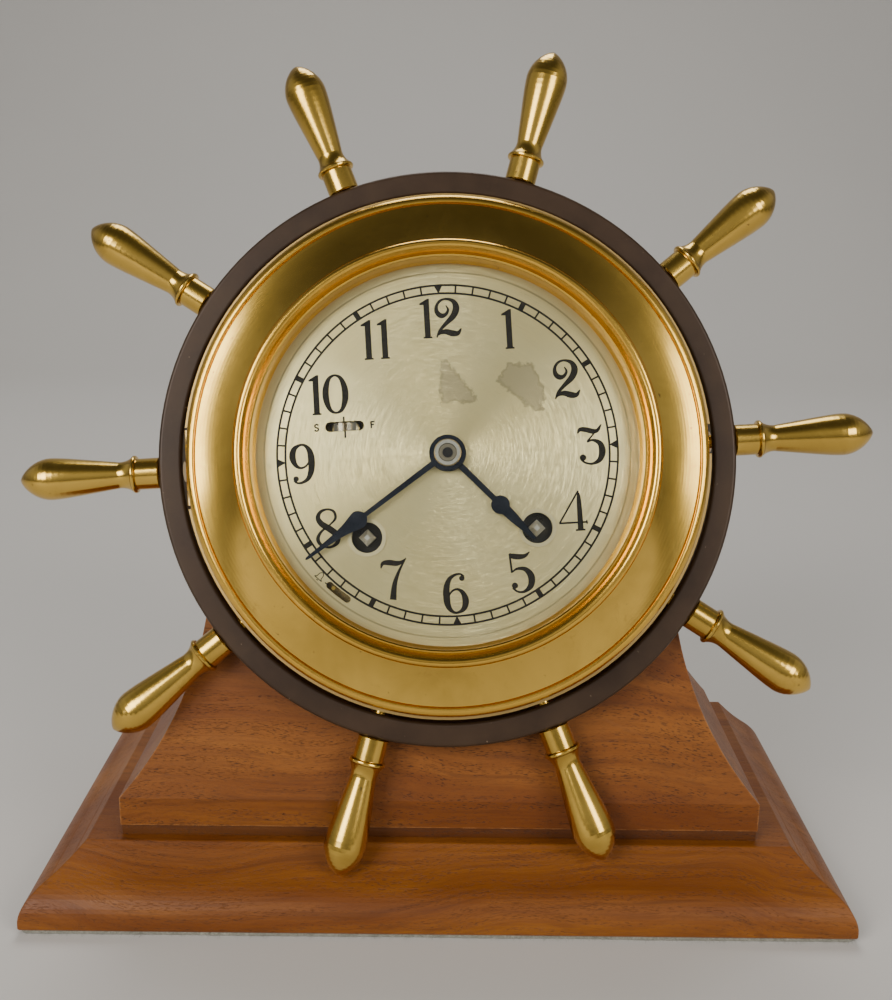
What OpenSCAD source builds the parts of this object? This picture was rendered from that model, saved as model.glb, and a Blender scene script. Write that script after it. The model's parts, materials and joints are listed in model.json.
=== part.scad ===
// Ship's-bell deck clock in a ten-spindle wheel, on a two-tier wooden stand.
// Millimetres, +Z up, front towards -Y, origin at the middle of the felt's underside.

/* [Stand] */
// Width of the base board at its foot
base_w = 247.5; // [225:0.5:290]
// Depth of the base board, front moulding to flat back
base_d = 121; // [112:0.5:150]
// Thickness of the base board
base_t = 20.5; // [17:0.5:28]
// Thickness of the felt under the base board
felt_t = 1.5; // [1:0.1:3]
// How far the felt stops short of the board's edge
felt_inset = 0.8; // [0.4:0.1:10]
// How far the ogee moulding stands out from the top ledge
ogee_w = 17; // [14:0.5:20]
// Upright edge at the foot of the moulding
foot_edge = 2; // [1.5:0.1:5]
// Ledge left in front of the plinth
ledge_front = 2.8; // [2:0.1:8]
// Width of the plinth at its band
plinth_w = 194; // [188:0.5:204]
// Depth of the plinth at its foot
plinth_d = 84; // [78:0.5:92]
// Height of the upright band round the foot of the plinth
band_h = 12.4; // [9:0.2:18]
// Height of the rebate under the band
rebate_h = 3.4; // [2:0.2:5]
// Depth of the rebate under the band
rebate_in = 0.4; // [0.2:0.1:1.2]
// Wood beside the case at the top of the plinth
horn_t = 4.5; // [3.5:0.5:10]
// Height of the plinth
plinth_h = 90; // [82:0.5:96]
// Radius of the coves on the plinth's sides
cove_r = 100; // [80:0.5:110]
// Backward lean of the plinth's face and of the clock, degrees
lean = 18.4; // [14:0.2:22]

/* [Wheel] */
// Height of the clock's axis above the table
axis_h = 135.3; // [132:0.1:144]
// Distance of the clock's axis to the right of the board's middle
axis_x = 1.3; // [0:0.1:3]
// Turn of the clock in its cradle, degrees
wheel_turn = 3.9; // [-6:0.1:6]
// Space between the case's flange and the ring
ring_gap = 1.7; // [1.2:0.1:3]
// Radial width of the ring
ring_w = 7.2; // [6:0.1:7.6]
// Thickness of the ring along the axis
ring_t = 8.6; // [8:0.1:10]
// Rounding of the ring's edges
ring_round = 1.1; // [0.5:0.1:1.8]
// Space behind the ring in front of the plinth's face
ring_behind = 2.3; // [2:0.1:5]
// Length of a spindle outside the ring
handle_len = 42.4; // [36:0.1:48]
// Largest diameter of a spindle's grip
grip_d = 12.7; // [11:0.1:14]
// Diameter of a spindle's neck
neck_d = 7.9; // [7:0.1:9.4]
// Diameter of a spindle's collar
collar_d = 11.4; // [10.4:0.1:13]
// Diameter of a spindle's shank
shank_d = 9.4; // [8.6:0.1:10.2]
// Diameter of the spindle where it passes through the ring
spigot_d = 6.2; // [5.4:0.1:7]
// Diameter of the spindle's threaded tail
tail_d = 4; // [3.4:0.1:4.6]

/* [Case] */
// Space between the movement's plates and the case's wall
plate_clear = 8.2; // [7.6:0.1:10]
// Wall of the case drum
drum_wall = 1.8; // [1.4:0.1:2.2]
// Space for the bell behind the back plate
bell_space = 19.6; // [19:0.1:26]
// How far the front flange stands out from the drum
flange_w = 11.5; // [11.2:0.1:13.2]
// How much of the flange shows outside the bezel
flange_show = 0.9; // [0.4:0.1:1.1]
// Thickness of the drum's front flange
flange_t = 1.5; // [1.2:0.1:1.8]
// Back of the flange, in front of the ring's middle plane
flange_z = 8.9; // [8.6:0.1:9.6]
// Thickness of the back cover
cover_t = 1.5; // [1:0.1:2.5]
// Wall of the bezel
bezel_wall = 1.8; // [1.4:0.1:2]
// Width of the bezel's outer bead
bead_w = 3.2; // [2.8:0.1:3.8]
// Width of the bezel's broad concave band
band_w = 11.5; // [9:0.1:12]
// Width of the mouldings between the band and the glass
mould_w = 5; // [4:0.1:5.6]
// Width of the sight ring round the dial
sight_w = 0.6; // [0.5:0.1:3.4]
// Thickness of the glass
glass_t = 1.8; // [1.4:0.1:2.4]
// Diameter of the hinge knuckles
knuckle_d = 1.6; // [1.4:0.1:1.6]
// Diameter of the hinge pin
pin_d = 0.8; // [0.6:0.1:0.9]

/* [Dial and hands] */
// Space between the dial's edge and the case's wall
dial_clear = 1.7; // [0.8:0.1:2.4]
// Thickness of the dial plate
dial_t = 1.2; // [0.9:0.1:1.5]
// Front of the dial, in front of the ring's middle plane
dial_z = 10; // [9.8:0.1:10.4]
// Angle of each winding hole from six o'clock, degrees
wind_angle = 47; // [46:0.5:49]
// Diameter of a winding hole
wind_hole_d = 9; // [8:0.1:10]
// Width of a winding square across its flats
square_w = 3.6; // [3:0.1:4]
// Space between the minute hand's tip and the sight ring
hand_margin = 4.7; // [3:0.1:9]
// Length of the hour hand
hour_len = 35.8; // [32:0.2:40]
// Dial angle of the minute hand, degrees clockwise from twelve
minute_at = 236.2; // [0:0.1:360]
// Dial angle of the hour hand, degrees clockwise from twelve
hour_at = 137.7; // [0:0.1:360]
// Thickness of the hands
hand_t = 0.6; // [0.4:0.1:0.8]
// Distance of the strike lever's slot inside the sight ring
silent_in = 4.6; // [4:0.1:5.6]
// Dial angle of the strike lever's slot, degrees
silent_at = 221.4; // [219:0.2:224]
// Regulator slot's distance left of the dial's centre
slot_x = 29.8; // [28:0.2:32]
// Regulator slot's height above the dial's centre
slot_y = 9.8; // [9:0.2:11]

/* [Movement] */
// Diameter of the movement's plates
plate_od = 112; // [110:0.5:114]
// Thickness of the movement's plates
plate_t = 2.4; // [2:0.1:2.8]
// Distance from the dial's face back to the front plate
dial_gap = 10; // [9.8:0.1:10.6]
// Outer diameter of a spring barrel
barrel_d = 41; // [38:0.5:42]
// Height of a spring barrel
barrel_h = 13; // [11:0.5:16]
// Diameter of a winding arbor
arbor_d = 5.2; // [4.8:0.1:5.6]
// Diameter of the balance wheel
balance_d = 19; // [16:0.5:20]
// Diameter of the bell
bell_d = 64; // [58:1:66]

/* [Hidden] */
$fn = 96;

// clearances
fit = 0.05;          // turning and sliding fits, on the radius
gap = 0.3;           // between pieces that pass each other
cut = 1;             // how far a cutting shape runs past a face

// stand
board_top = felt_t + base_t;
front_y = -base_d / 2;
back_y = base_d / 2;
plinth_front = front_y + ogee_w + ledge_front;
plinth_back = plinth_front + plinth_d;
plinth_top = board_top + plinth_h;
band_top = board_top + band_h;
drum_od = plate_od + 2 * (plate_clear + drum_wall);
plinth_top_w = drum_od + 2 * horn_t;
cove_x = plinth_top_w / 2 + cove_r;
// the cove's circle starts at the band's edge and ends upright
cove_z = band_top + sqrt(pow(cove_r, 2) - pow(cove_x - plinth_w / 2, 2));
ring_standoff = ring_t / 2 + ring_behind;
wheel_y = plinth_front + (axis_h - band_top) * tan(lean) - ring_standoff / cos(lean);
stand_screw_x = plinth_w / 2 - 22;
stand_screw_d = 4;
stand_screw_head_d = 8;
stand_screw_len = base_t + 16;

// wheel
spindles = 10;
spindle_pitch = 360 / spindles;
hinge_spindle = 7;   // the spindle over the hinge has no tail behind the ring
flange_r = drum_od / 2 + flange_w;
ring_ir = flange_r + ring_gap;
ring_r = ring_ir + ring_w;
shank_len = 7;
collar_run = 1.5;
flare_run = 3.9;
tip_run = 9.5;

// case
drum_r = drum_od / 2;
drum_ir = drum_r - drum_wall;
flange_front = flange_z + flange_t;
bezel_r = flange_r - flange_show;
bezel_z = flange_front + gap;
band_or = bezel_r - bead_w;
band_ir = band_or - band_w;
lip_r = band_ir - mould_w;
sight_r = lip_r - sight_w;
dial_r = drum_ir - dial_clear;
hour_hand_z = dial_z + 1.6;
minute_hand_z = hour_hand_z + hand_t + 0.7;
nut_t = 1.3;
glass_z = minute_hand_z + hand_t + nut_t + 0.8;
glass_front = glass_z + glass_t;
crest_z = glass_front + 2.3;
inner_wall_r = lip_r + 1.4;
hinge_r = bezel_r - 0.8;
hinge_z = bezel_z + 0.6;
hinge_half = 11;
hinge_notch = sqrt(pow(bezel_r, 2) - pow(hinge_r, 2)) + 1;
leaf_t = 0.8;
catch_half = 4.4;
catch_r = bezel_r - bezel_wall - 1.2;
case_screw_at = 20;
case_screw_z = -18;
case_screw_r = drum_r + 38;
case_screw_d = 4;
cover_lug_r = drum_ir - 4;
dial_seat_z = dial_z - dial_t;

// movement: places are [x, y] in the clock's own plane, heights are along its axis
great_t = 1.7;
drive_t = 1.2;
barrel_lift = 0.9;
drive_lift = 1.1;
plate_gap = barrel_lift + barrel_h + great_t + drive_lift + drive_t + 1.7;
plate_front = dial_z - dial_gap;
plate_back = plate_front - plate_t;
rear_front = plate_back - plate_gap;
rear_back = rear_front - plate_t;
pillar_r = plate_od / 2 - 5;
pillar_at = [22, 88, 164, 196, 272, 338];
lug_r = plate_od / 2 - 3.4;
lug_t = 3;
lug_at = [60, 180, 300];
pivot_d = 1.6;
shaft_d = 2.4;
play = gap;
wind_r = plate_od / 2 - barrel_d / 2 - 1.4;
time_at = wind_r * [sin(wind_angle), -cos(wind_angle)];
strike_at = wind_r * [-sin(wind_angle), -cos(wind_angle)];
great_teeth = 64;
great_module = (wind_r * sin(wind_angle) - 1.5) / (great_teeth / 2 + 0.8);
leaf_teeth = 10;
drive_teeth = 60;
drive_module = 0.6;
small_teeth = 8;
centre_teeth = 64;
train_module = (wind_r - barrel_d / 2 - 0.7) / (centre_teeth / 2 + 0.8);
third_teeth = 60;
fourth_teeth = 64;
fourth_module = 0.875 * train_module;
great_d = great_module * (great_teeth + leaf_teeth) / 2;
drive_d = drive_module * (drive_teeth + leaf_teeth) / 2;
drive_at = meet([0, 0], drive_d, time_at, great_d, 1);
strike_wheel_at = meet([0, 0], drive_d, strike_at, great_d, -1);
third_dir = 120;
fourth_dir = 65;
escape_dir = 8;
lever_dir = -10;
centre_d = train_module * (centre_teeth + small_teeth) / 2;
third_d = train_module * (third_teeth + small_teeth) / 2;
fourth_d = fourth_module * (fourth_teeth + small_teeth) / 2;
third_at = centre_d * polar(third_dir);
fourth_at = third_at + third_d * polar(fourth_dir);
escape_at = fourth_at + fourth_d * polar(escape_dir);
escape_r = 5.5;
pallet_d = 7.6;
roller_d = 9;
pallet_at = escape_at + pallet_d * polar(lever_dir);
balance_at = pallet_at + roller_d * polar(lever_dir);
great_z = rear_front + barrel_lift + barrel_h;
drive_z = great_z + great_t + drive_lift;
centre_z = rear_front + 8;
third_z = rear_front + 4;
fourth_z = rear_front + 11;
escape_z = rear_front + 1.6;
wheel_t = 1;
motion_z = plate_front + 1.9;
motion_t = 1.2;
motion_d = 14.4;
motion_dir = -90;
motion_at = motion_d * polar(motion_dir);
cannon_teeth = 12;
minute_teeth = 36;
minute_leaves = 10;
hour_teeth = 40;
motion_module = 2 * motion_d / (cannon_teeth + minute_teeth);
hour_module = 2 * motion_d / (minute_leaves + hour_teeth);
hour_z = motion_z + motion_t + 0.8;
cannon_r = 2.3;
centre_arbor_r = 1.45;
hour_pipe_r = 3.2;
ratchet_z = plate_front + 0.4;
ratchet_t = 1.4;
ratchet_r = 7.4;
ratchet_teeth = 18;
square_end = dial_z - 1.8;
click_d = 12.6;
click_dir = 62;
reg_w = 2.4;
reg_r = (dial_gap - 0.8) / 2;
reg_z = dial_z - 0.4 - reg_r;
reg_lug = reg_w / 2 + gap;
silent_arm = 7.6;
silent_travel = 28;
silent_z = plate_front + 2;
silent_pin_r = 0.6;
bell_at = [0, -8];
drum_len = 2 * plate_t - plate_front + plate_gap + bell_space;
silent_r = sight_r - silent_in;
minute_len = sight_r - hand_margin;
bell_z = -drum_len + 3.2;
bell_rise = 6.5;
bell_t = 1.4;
hammer_dir = 150;
hammer_arm = 18;
hammer_head = bell_at + (bell_d / 2 + 3.4) * polar(hammer_dir);
hammer_at = hammer_head + hammer_arm * polar(hammer_dir - 90);
hammer_z = bell_z + bell_rise - 0.6;
balance_z = rear_back - 2.6;
cock_z = balance_z - 4.6;
cock_reach = balance_d / 2 + 5.5;
cock_dir = -40;
fly_dir = 150;
fly_teeth = 8;
strike_teeth = 48;
fly_at = strike_wheel_at + drive_module * (strike_teeth + fly_teeth) / 2 * polar(fly_dir);
barrel_z = rear_front + barrel_lift;
barrel_wall = 1.3;
hub_r = 5;
pin_ring_r = 12.4;

// ---- helpers -----------------------------------------------------------------------

function polar(a) = [cos(a), sin(a)];
// point at distance ra from a and rb from b, on the side given by s
function meet(a, ra, b, rb, s) =
  let (d = norm(b - a), u = (b - a) / d, x = (ra * ra - rb * rb + d * d) / (2 * d),
       y = sqrt(ra * ra - x * x))
  a + x * u + s * y * [-u[1], u[0]];
function arc(c, r, a0, a1, n = 10) = [for (i = [0:n]) c + r * polar(a0 + (a1 - a0) * i / n)];
// direction from p to q, degrees
function dir(p, q) = atan2(q[1] - p[1], q[0] - p[0]);
// turn of gear b (teeth nb) that meshes with gear a (teeth na, turned ta), b lying towards d
function mesh(na, ta, nb, d) = d + 180 - (0.5 - (d - ta) * na / 360) * 360 / nb;

// into the clock's own frame: x right, y up the dial, z out of the dial
module clock_frame() translate([axis_x, wheel_y, axis_h]) rotate([90 - lean, 0, 0])
  rotate([0, 0, wheel_turn]) children();
// same frame before the clock is turned in its cradle
module cradle_frame() translate([axis_x, wheel_y, axis_h]) rotate([90 - lean, 0, 0]) children();
// clockwise from twelve
module clock(a) rotate([0, 0, -a]) children();
module rod(p, z0, z1, r) translate([p[0], p[1], z0]) cylinder(r = r, h = z1 - z0);
module tube(p, z0, z1, r, ir) difference() {
  rod(p, z0, z1, r);
  rod(p, z0 - cut, z1 + cut, ir);
}
module gear2d(n, m) polygon([for (i = [0:n - 1]) for (k = [[-0.26, -1.1], [-0.09, 0.8],
    [0.09, 0.8], [0.26, -1.1]]) m * (n / 2 + k[1]) * polar(360 * (i + k[0]) / n)]);
// wheel with five spokes when it is large enough
module gear(p, z, t, n, m, turn, bore, spokes = 1) translate([p[0], p[1], z]) rotate([0, 0, turn])
  linear_extrude(t) difference() {
    gear2d(n, m);
    if (n > 30 && spokes > 0) for (i = [0:4]) rotate(72 * i)
      polygon(concat(arc([0, 0], m * n / 2 - 2.4, 9, 63, 6), arc([0, 0], max(bore, 2) + 2, 54, 18, 3)));
    if (bore > 0) circle(r = bore);
  }
module arbor(p, r = shaft_d / 2) {
  rod(p, rear_front + play, plate_back - play, r);
  rod(p, rear_back, plate_front, pivot_d / 2);
}
// screw with a slotted cheese head, from the seat at z down
module cheese_screw(z, d, head_d, head_t, len) {
  difference() {
    translate([0, 0, z]) cylinder(d = head_d, h = head_t);
    translate([-head_d, -0.3, z + head_t * 0.55]) cube([2 * head_d, 0.6, head_t]);
  }
  translate([0, 0, z - len]) cylinder(d = d, h = len + head_t / 2);
}

// ---- stand -------------------------------------------------------------------------

module felt_pad() color("#6f7464") translate([-base_w / 2 + felt_inset, front_y + felt_inset, 0])
  cube([base_w - 2 * felt_inset, base_d - 2 * felt_inset, felt_t]);

// half outline of the moulding: [distance out from the ledge, height above the felt]
function ogee() =
  let (half = ogee_w * 0.55, knee = base_t * 0.38, a0 = 42, n = 10)
  concat([for (i = [0:n]) let (s = i / n) [half * s, base_t - knee * (s + 0.06 * sin(180 * s))]],
    [for (i = [1:n]) let (a = a0 + (90 - a0) * i / n)
      [half + (ogee_w - half) * (sin(a) - sin(a0)) / (1 - sin(a0)),
       base_t - knee - (base_t - knee - foot_edge) * (cos(a0) - cos(a)) / cos(a0)]],
    [[ogee_w, 0.5], [ogee_w - 0.5, 0]]);

// the board as one moulding run on three sides, mitred at the front corners
module base_board() color("#a35a2c") difference() {
  intersection() {
    translate([0, back_y, felt_t]) rotate([90, 0, 0]) linear_extrude(base_d)
      polygon(concat([for (p = ogee()) [base_w / 2 - ogee_w + p[0], p[1]]],
        [for (i = [len(ogee()) - 1:-1:0]) [-(base_w / 2 - ogee_w + ogee()[i][0]), ogee()[i][1]]]));
    translate([-base_w / 2, 0, felt_t]) rotate([90, 0, 90]) linear_extrude(base_w)
      polygon(concat([for (p = ogee()) [front_y + ogee_w - p[0], p[1]]],
        [[back_y, 0], [back_y, base_t]]));
  }
  plinth_screw_places() {
    translate([0, 0, felt_t - cut]) cylinder(d = stand_screw_head_d + 0.6, h = 4 + cut);
    cylinder(d = stand_screw_d + 2 * fit, h = board_top + cut);
  }
}

module plinth_screw_places() for (x = [-1, 1]) for (y = [plinth_front + 14, plinth_back - 14])
  translate([x * stand_screw_x, y, 0]) children();

module plinth_screws() color("#8f8c86") plinth_screw_places() {
  difference() {
    translate([0, 0, felt_t + 0.6]) cylinder(d = stand_screw_head_d, h = 3.4);
    translate([-stand_screw_d, -0.5, felt_t]) cube([2 * stand_screw_d, 1, 1.8]);
  }
  translate([0, 0, felt_t + 3]) cylinder(d = stand_screw_d, h = stand_screw_len - 6);
  translate([0, 0, felt_t + stand_screw_len - 3.02])
    cylinder(d1 = stand_screw_d, d2 = 0.8, h = 5);
}

// end outline of the plinth: rebate, band, cove, upright top
function plinth_half() = let (a0 = asin((cove_z - band_top) / cove_r))
  concat([[plinth_w / 2 - rebate_in, board_top], [plinth_w / 2 - rebate_in, board_top + rebate_h],
    [plinth_w / 2, board_top + rebate_h], [plinth_w / 2, band_top]],
    arc([cove_x, cove_z], cove_r, 180 + a0, 180, 28), [[plinth_top_w / 2, plinth_top]]);

module plinth() color("#a35a2c") difference() {
  translate([0, plinth_back, 0]) rotate([90, 0, 0]) linear_extrude(plinth_d)
    polygon(concat(plinth_half(),
      [for (i = [len(plinth_half()) - 1:-1:0]) [-plinth_half()[i][0], plinth_half()[i][1]]]));
  translate([-plinth_w, plinth_front - cut, board_top - cut])
    cube([2 * plinth_w, rebate_in + cut, rebate_h + cut]);
  // sloping face above the band
  translate([-plinth_w, plinth_front, band_top]) rotate([-lean, 0, 0])
    translate([0, -plinth_d, 0]) cube([2 * plinth_w, plinth_d, 2 * plinth_h]);
  cradle_frame() {
    translate([0, 0, -2 * plinth_d]) cylinder(r = drum_r + fit, h = 3 * plinth_d);
    case_screw_places() {
      translate([0, 0, drum_r - cut]) cylinder(d = case_screw_d + 2 * fit, h = case_screw_r);
      translate([0, 0, case_screw_r]) cylinder(d = 9, h = plinth_h);
    }
  }
  plinth_screw_places() cylinder(d = stand_screw_d + 2 * fit, h = felt_t + stand_screw_len + 3);
}

// radial lines, outwards along z, from the clock's axis down through the plinth
module case_screw_places() for (s = [-1, 1]) rotate([0, 0, 180 + s * case_screw_at])
  translate([0, 0, case_screw_z]) rotate([-90, 0, 0]) children();

module case_screws() color("#b98f3e") cradle_frame() case_screw_places() {
  difference() {
    translate([0, 0, case_screw_r]) cylinder(d = 8, h = 3);
    translate([-5, -0.5, case_screw_r + 1.6]) cube([10, 1, 3]);
  }
  translate([0, 0, drum_r - 4]) cylinder(d = case_screw_d, h = case_screw_r - drum_r + 5);
}

// ---- wheel -------------------------------------------------------------------------

function rounded(x0, x1, z0, z1, r) = concat(arc([x0 + r, z0 + r], r, 180, 270, 5),
  arc([x1 - r, z0 + r], r, 270, 360, 5), arc([x1 - r, z1 - r], r, 0, 90, 5),
  arc([x0 + r, z1 - r], r, 90, 180, 5));

module wheel_ring() color("#3a2c28") clock_frame() difference() {
  rotate_extrude($fn = 180) polygon(rounded(ring_ir, ring_r, -ring_t / 2, ring_t / 2, ring_round));
  for (i = [0:spindles - 1]) clock(spindle_pitch * (i + 0.5)) rotate([-90, 0, 0])
    translate([0, 0, ring_ir - 2]) cylinder(d = spigot_d + 2 * fit, h = ring_w + 4);
}

// turned outline [radius, distance along], from the shoulder on the ring to the tip
function handle_outline() =
  let (collar_z = shank_len + collar_run, neck_z = collar_z + flare_run,
       grip_z = handle_len - tip_run, n = 12)
  concat([[0, 0], [shank_d / 2 - 0.4, 0], [shank_d / 2, 0.4], [shank_d / 2, shank_len]],
    arc([collar_d / 2 - collar_run / 2, shank_len + collar_run / 2], collar_run / 2, -80, 80, 6),
    [for (i = [0:n]) let (s = i / n)
      [neck_d / 2 + (collar_d - neck_d) / 2 * 0.72 * pow(1 - s, 2.2), collar_z + flare_run * s]],
    [for (i = [1:n]) let (s = i / n)
      [neck_d / 2 + (grip_d - neck_d) / 2 * (1.12 * s - 0.12 * pow(s, 8)),
       neck_z + (grip_z - neck_z) * s]],
    [for (i = [1:n]) let (a = 90 * i / n)
      [grip_d / 2 * pow(cos(a), 1.5), grip_z + tip_run * sin(a)]]);

module spindle(i) color("#c9a24a") clock_frame() clock(spindle_pitch * (i + 0.5))
  rotate([-90, 0, 0]) {
    translate([0, 0, ring_r]) rotate_extrude($fn = 48) polygon(handle_outline());
    translate([0, 0, ring_ir]) cylinder(d = spigot_d, h = ring_w + 1);
    if (i != hinge_spindle) translate([0, 0, drum_r + 1])
      cylinder(d = tail_d, h = ring_ir - drum_r);
  }

// ---- case --------------------------------------------------------------------------

module case_drum() color("#b98f3e") difference() {
  clock_frame() difference() {
    union() {
      translate([0, 0, -drum_len]) cylinder(r = drum_r, h = drum_len + flange_front, $fn = 180);
      translate([0, 0, flange_z]) cylinder(r = flange_r, h = flange_t, $fn = 180);
      for (i = [0:spindles - 1]) if (i != hinge_spindle) clock(spindle_pitch * (i + 0.5))
        rotate([-90, 0, 0]) translate([0, 0, drum_r - 1]) cylinder(d = tail_d + 4, h = 6);
    }
    difference() {
      translate([0, 0, -drum_len - cut]) cylinder(r = drum_ir, h = drum_len + flange_front + 2 * cut,
        $fn = 180);
      // ledge that the dial sits on
      tube([0, 0], dial_seat_z - 1.6, dial_seat_z, drum_r - 0.5, dial_r - 2.5);
      // lugs under the front plate and behind the back cover
      for (a = lug_at) clock(a) translate([-4, lug_r - 4, plate_back - lug_t])
        cube([8, drum_r - lug_r + 3.5, lug_t]);
      for (i = [0:2]) clock(120 * i) translate([-4, cover_lug_r - 4, -drum_len])
        cube([8, drum_r - cover_lug_r + 3.5, 6]);
      rotate([0, 0, -wheel_turn]) case_screw_places() translate([0, 0, drum_r - 6])
        cylinder(d = 9, h = 5.5);
    }
    for (i = [0:spindles - 1]) if (i != hinge_spindle) clock(spindle_pitch * (i + 0.5))
      rotate([-90, 0, 0]) translate([0, 0, drum_r + 1 - fit]) cylinder(d = tail_d + 2 * fit, h = 9);
    for (a = lug_at) clock(a) rod([0, lug_r], plate_back - lug_t - cut, plate_back + cut, 1 + fit);
    for (i = [0:2]) clock(120 * i) rod([0, cover_lug_r], -drum_len - cut, -drum_len + 7, 1.5 + fit);
    // notches in the flange for the hinge and for the catch
    translate([-drum_od, -hinge_notch, flange_z - cut])
      cube([drum_od - hinge_r + 2.3, 2 * hinge_notch, flange_t + 2 * cut]);
    translate([catch_r - 1.4, -catch_half, flange_z - cut]) cube([9, 2 * catch_half, flange_t + 2 * cut]);
  }
  cradle_frame() case_screw_places() translate([0, 0, drum_r - 4 - fit])
    cylinder(d = case_screw_d + 2 * fit, h = 8);
}

module back_cover() color("#b98f3e") clock_frame() difference() {
  translate([0, 0, -drum_len - cover_t]) cylinder(r = drum_r, h = cover_t, $fn = 180);
  for (i = [0:2]) clock(120 * i) rod([0, cover_lug_r], -drum_len - 2 * cover_t, -drum_len + cut,
    1.5 + fit);
  rod(bell_at, -drum_len - 2 * cover_t, -drum_len + cut, 2 + fit);
}

module back_screws() color("#c9a24a") clock_frame() for (i = [0:2]) clock(120 * i)
  translate([0, cover_lug_r, 0]) mirror([0, 0, 1])
    cheese_screw(drum_len + cover_t, 3, 6, 1.8, 6);

// two fixed leaves under the flange with the pin riveted between them
module hinge_leaves() color("#b98f3e") clock_frame() {
  translate([-hinge_r, 0, hinge_z]) rotate([90, 0, 0])
    cylinder(d = pin_d, h = 2 * hinge_half, center = true);
  for (s = [-1, 1]) hinge_leaf(s);
}
module hinge_leaf(s) {
  translate([-hinge_r, s * (hinge_half - 2), hinge_z]) rotate([90, 0, 0])
    cylinder(d = knuckle_d, h = 4, center = true);
  translate([-hinge_r - 0.6, s * (hinge_half - 2) - 2, flange_z - leaf_t])
    cube([1.4, 4, hinge_z - flange_z + leaf_t]);
  translate([-hinge_r - 0.6, s * (hinge_half - 2) - 2, flange_z - leaf_t]) cube([8, 4, leaf_t]);
}

// flat spring under the flange; its lip stands inside the bezel's wall
module catch_spring() color("#d2a94e") clock_frame() {
  translate([drum_r + 5.4, -3, flange_z - 0.7]) cube([catch_r - drum_r - 4.8, 6, 0.7]);
  translate([catch_r, -3, flange_z - 0.7]) cube([0.6, 6, bezel_z - flange_z + 1.2]);
}

// outer face of the bezel, [radius, height] from the foot inwards to the lip
function bezel_face() =
  let (band_z = bezel_z + 2.8, rise = crest_z - 1.5 - band_z)
  concat([[bezel_r - 0.3, bezel_z], [bezel_r, bezel_z + 0.3]],
    arc([bezel_r - 2.4, bezel_z + 0.8], 2.4, 0, 96, 10), [[band_or + 0.2, band_z - 0.3]],
    [for (i = [0:12]) let (s = i / 12)
      [band_or - band_w * s, band_z + rise * (0.62 * s + 0.38 * s * s)]],
    [[band_ir - 0.2, crest_z - 1.7]], arc([band_ir - 1.5, crest_z - 1.3], 1.3, 10, 150, 10),
    [[lip_r + 1.4, crest_z - 1.9], [lip_r + 1, crest_z - 1.7], [lip_r + 0.4, glass_front + 0.9],
     [lip_r, glass_front + 0.6], [lip_r, glass_front]]);

module bezel() color("#c9a24a") clock_frame() difference() {
  union() {
    difference() {
      rotate_extrude($fn = 180) polygon(concat(bezel_face(), [[inner_wall_r, glass_front],
        [inner_wall_r, bezel_z], [inner_wall_r + bezel_wall, bezel_z],
        [inner_wall_r + bezel_wall, crest_z - 2.2 - bezel_wall],
        [bezel_r - bezel_wall - 2.4, bezel_z + 1.4], [bezel_r - bezel_wall, bezel_z + 1.2],
        [bezel_r - bezel_wall, bezel_z]]));
      // room for the fixed knuckles
      translate([-bezel_r - cut, -hinge_half - gap, bezel_z - cut])
        cube([bezel_r + cut - hinge_r + 1.4, 2 * (hinge_half + gap), hinge_z + 1.1 - bezel_z + cut]);
    }
    for (s = [-1, 1]) translate([-hinge_r, s * (hinge_half - 6.3), hinge_z]) {
      rotate([90, 0, 0]) cylinder(d = knuckle_d, h = 4, center = true);
      translate([-0.3, -2, 0]) cube([knuckle_d / 2 + 0.3, 4, 1.5]);
    }
  }
  translate([-hinge_r, 0, hinge_z]) rotate([90, 0, 0])
    cylinder(d = pin_d + 2 * fit, h = 2 * hinge_half, center = true);
}

module glass() color("#dfe9ea", 0.35) clock_frame()
  rod([0, 0], glass_z, glass_front, inner_wall_r - fit);

// sprung brass cone that holds the glass and frames the dial
module sight_ring() color("#c9a24a") clock_frame() rotate_extrude($fn = 180) polygon([
  [sight_r, dial_z + 0.8], [sight_r + 1, dial_z + 0.6], [inner_wall_r - fit, bezel_z + 1],
  [inner_wall_r - fit, glass_z], [inner_wall_r - 1, glass_z], [sight_r + 0.7, dial_z + 2.2]]);

// ---- dial and hands ------------------------------------------------------------------

function slot_arc(r, w, a0, a1) = concat(arc([0, 0], r + w / 2, a0, a1, 8),
  arc(r * polar(a1), w / 2, a1, a1 + 180, 6), arc([0, 0], r - w / 2, a1, a0, 8),
  arc(r * polar(a0), w / 2, a0 + 180, a0 + 360, 6));

module dial() color("#c9c0a0") clock_frame() {
  difference() {
    union() {
      rod([0, 0], dial_seat_z, dial_z, dial_r);
      tube([0, 0], dial_z - 0.1, dial_z + 0.2, dial_r, sight_r - 2.4);
    }
    rod([0, 0], dial_seat_z - cut, dial_z + cut, hour_pipe_r + 0.8);
    for (p = [time_at, strike_at]) rod(p, dial_seat_z - cut, dial_z + cut, wind_hole_d / 2 + 0.5);
    for (s = [-1, 1]) rod([-slot_x + s * 4.3, slot_y], dial_seat_z - cut, dial_z + cut, 1.45);
    translate([-slot_x - 4.3, slot_y - 1.45, dial_seat_z - cut]) cube([8.6, 2.9, dial_t + 2 * cut]);
    translate([0, 0, dial_seat_z - cut]) linear_extrude(dial_t + 2 * cut)
      polygon(slot_arc(silent_r, 2.1, 90 - silent_at - 3.6, 90 - silent_at + 3.6));
  }
  // feet that pin into the front plate
  for (a = [30, 125, 330]) clock(a)
    rod([0, plate_od / 2 - 4], plate_back, dial_seat_z + 0.2, 1);
}

module winding_grommets() color("#b98f3e") clock_frame() for (p = [time_at, strike_at]) {
  tube(p, dial_seat_z - 0.6, dial_z + 0.3, wind_hole_d / 2 + 0.5 - fit, wind_hole_d / 2);
  tube(p, dial_z, dial_z + 0.5, wind_hole_d / 2 + 1.1, wind_hole_d / 2);
}

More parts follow.
